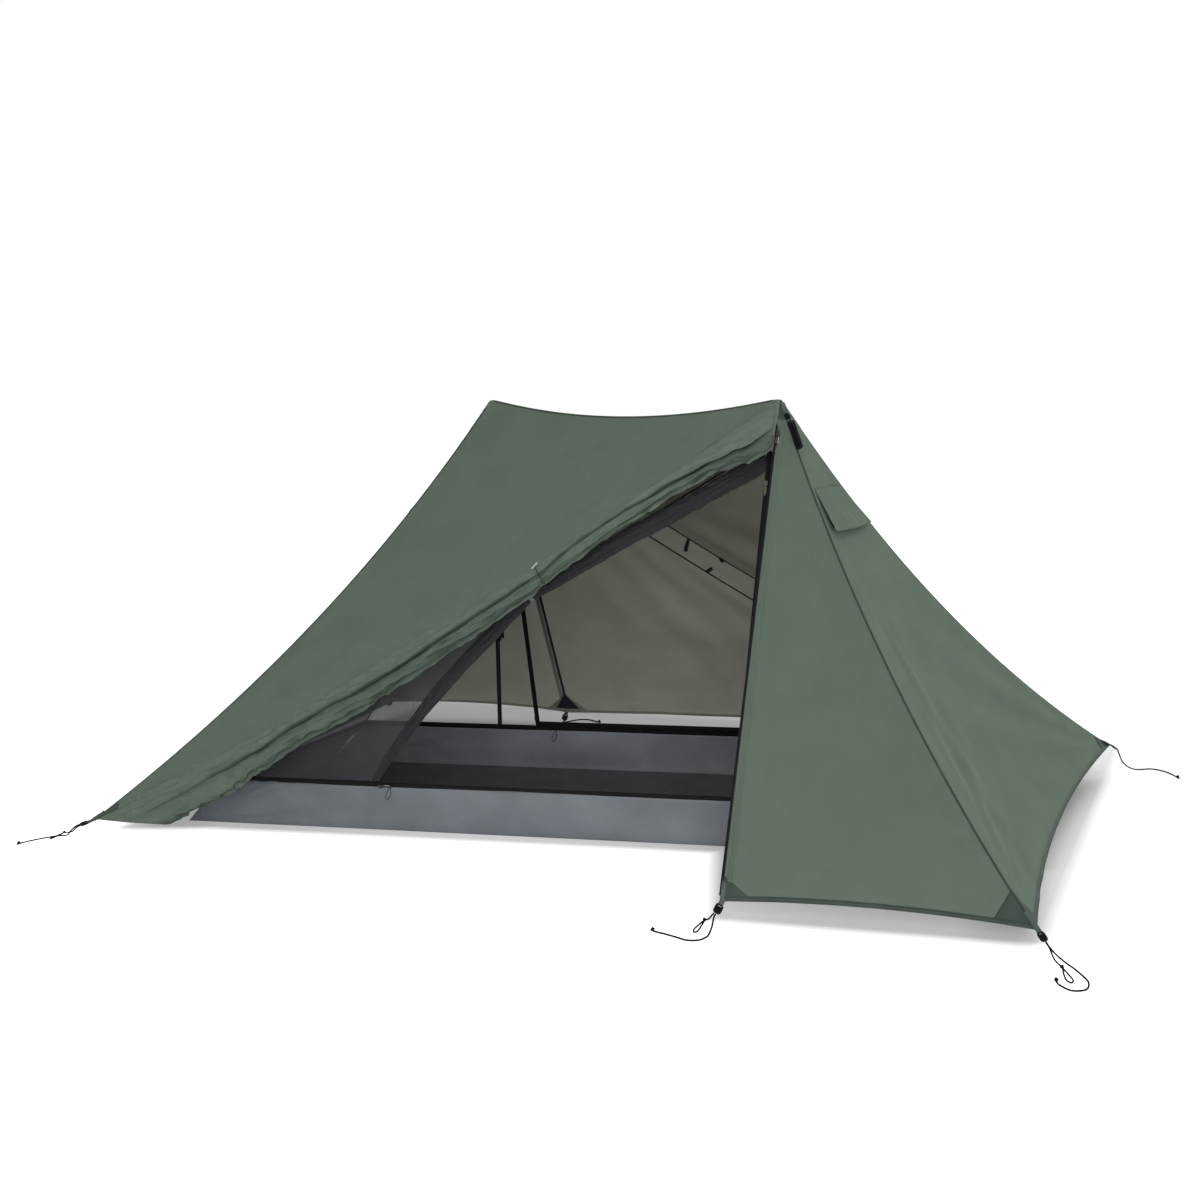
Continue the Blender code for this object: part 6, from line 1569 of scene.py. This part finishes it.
floor_finish, tree, shader = new_finish("pale_floor", 0.9, {"Base Color": (0.9, 0.9, 0.9, 1.0),
                                                             "Specular IOR Level": 0.0,
                                                             "Emission Color": (1.0, 1.0, 1.0, 1.0)})
split = tree.nodes.new("ShaderNodeSeparateXYZ")
tree.links.new(object_place(tree), split.inputs[0])
outside, edges = [], []
for axis, middle, half, steepness in (("X", 0.0, 1.24, 22.0), ("Y", -0.07, 1.12, 4.4)):
    off = calculate(tree, "ABSOLUTE", calculate(tree, "SUBTRACT", split.outputs[axis], middle))
    over = calculate(tree, "MAXIMUM", calculate(tree, "SUBTRACT", off, half), 0.0)
    outside.append(calculate(tree, "MULTIPLY", over, over))
    edges.append(calculate(tree, "MULTIPLY_ADD", over, steepness, -0.2, clamp=True))
away = calculate(tree, "SQRT", calculate(tree, "ADD", *outside))
beside = calculate(tree, "MULTIPLY", calculate(tree, "MAXIMUM", *edges), 0.45)
far = calculate(tree, "MULTIPLY", calculate(tree, "MULTIPLY_ADD", away, 0.45, -0.35, clamp=True), 0.25)
# Lines on the floor, y over x, that edge the painted shadow: before the tub, at the left corner, before the
# hem, and the tent's middle.
tub_front, left_front, hem_front, near = [
    calculate(tree, "SUBTRACT", calculate(tree, "MULTIPLY_ADD", split.outputs["X"], slope, start),
              split.outputs["Y"])
    for slope, start in ((0.174, -0.41), (0.39, -0.19), (0.12, -0.89), (0.0, -0.20))]
door_side = calculate(tree, "MULTIPLY_ADD", split.outputs["Y"], -0.32, 0.295)
panel_front = calculate(tree, "MAXIMUM", hem_front,
                        calculate(tree, "SUBTRACT", door_side, split.outputs["X"]))
front = calculate(tree, "MINIMUM", calculate(tree, "MINIMUM", tub_front, left_front), panel_front)
front = calculate(tree, "MULTIPLY", front, 20.0, clamp=True)
near = calculate(tree, "MINIMUM", near, calculate(tree, "SUBTRACT", 1.27, split.outputs["X"]))
least = calculate(tree, "MULTIPLY_ADD", calculate(tree, "MULTIPLY", near, 5.0, clamp=True), 0.22, 0.04)
# Where these terms are small the glow stays low, and the floor shows painted shadow there.
glow = calculate(tree, "MULTIPLY_ADD", front, 0.68,
                 calculate(tree, "ADD", calculate(tree, "ADD", beside, least), far))
tree.links.new(calculate(tree, "MULTIPLY", camera_rays(tree), glow), shader.inputs["Emission Strength"])
reach = 30.0
floor_mesh = bpy.data.meshes.new("floor_stage")
floor_mesh.from_pydata([(-reach, -reach, 0), (reach, -reach, 0), (reach, reach, 0), (-reach, reach, 0)], [],
                       [(0, 1, 2, 3)])
floor_mesh.materials.append(floor_finish)
floor_stage = bpy.data.objects.new("floor_stage", floor_mesh)
bpy.context.scene.collection.objects.link(floor_stage)
floor_stage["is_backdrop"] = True

sky = bpy.data.worlds.new("pale_sky")
sky.use_nodes = True
bpy.context.scene.world = sky
tree = sky.node_tree
tree.links.new(calculate(tree, "MULTIPLY_ADD", camera_rays(tree), 0.48, 0.52),
               tree.nodes["Background"].inputs["Strength"])
tree.nodes["Background"].inputs["Color"].default_value = (1.0, 1.0, 1.0, 1.0)


def soft_lamp(name, place, aim, size, power):
    """A square area lamp of the given size in metres, turned towards a place."""
    lamp = bpy.data.lights.new(name, "AREA")
    lamp.size = size
    lamp.energy = power
    made = bpy.data.objects.new(name, lamp)
    way = unit(np.subtract(aim, place))
    side = unit(np.cross(way, (0.0, 0.0, 1.0)))
    turned = np.stack([side, np.cross(side, way), -way], axis=1)
    made.matrix_world = Matrix([(*row, spot) for row, spot in zip(turned, place)] + [(0, 0, 0, 1)])
    bpy.context.scene.collection.objects.link(made)


soft_lamp("key_lamp", (2.4, -7.0, 2.0), (0.0, 0.0, 0.5), 3.0, 235.0)
soft_lamp("side_lamp", (7.0, -3.0, 3.2), (0.0, 0.0, 0.5), 3.0, 8.0)
soft_lamp("back_lamp", (1.5, 7.5, 3.6), (0.0, 0.0, 0.5), 3.5, 370.0)

view = bpy.context.scene.view_settings
view.view_transform = "Standard"
low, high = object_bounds()
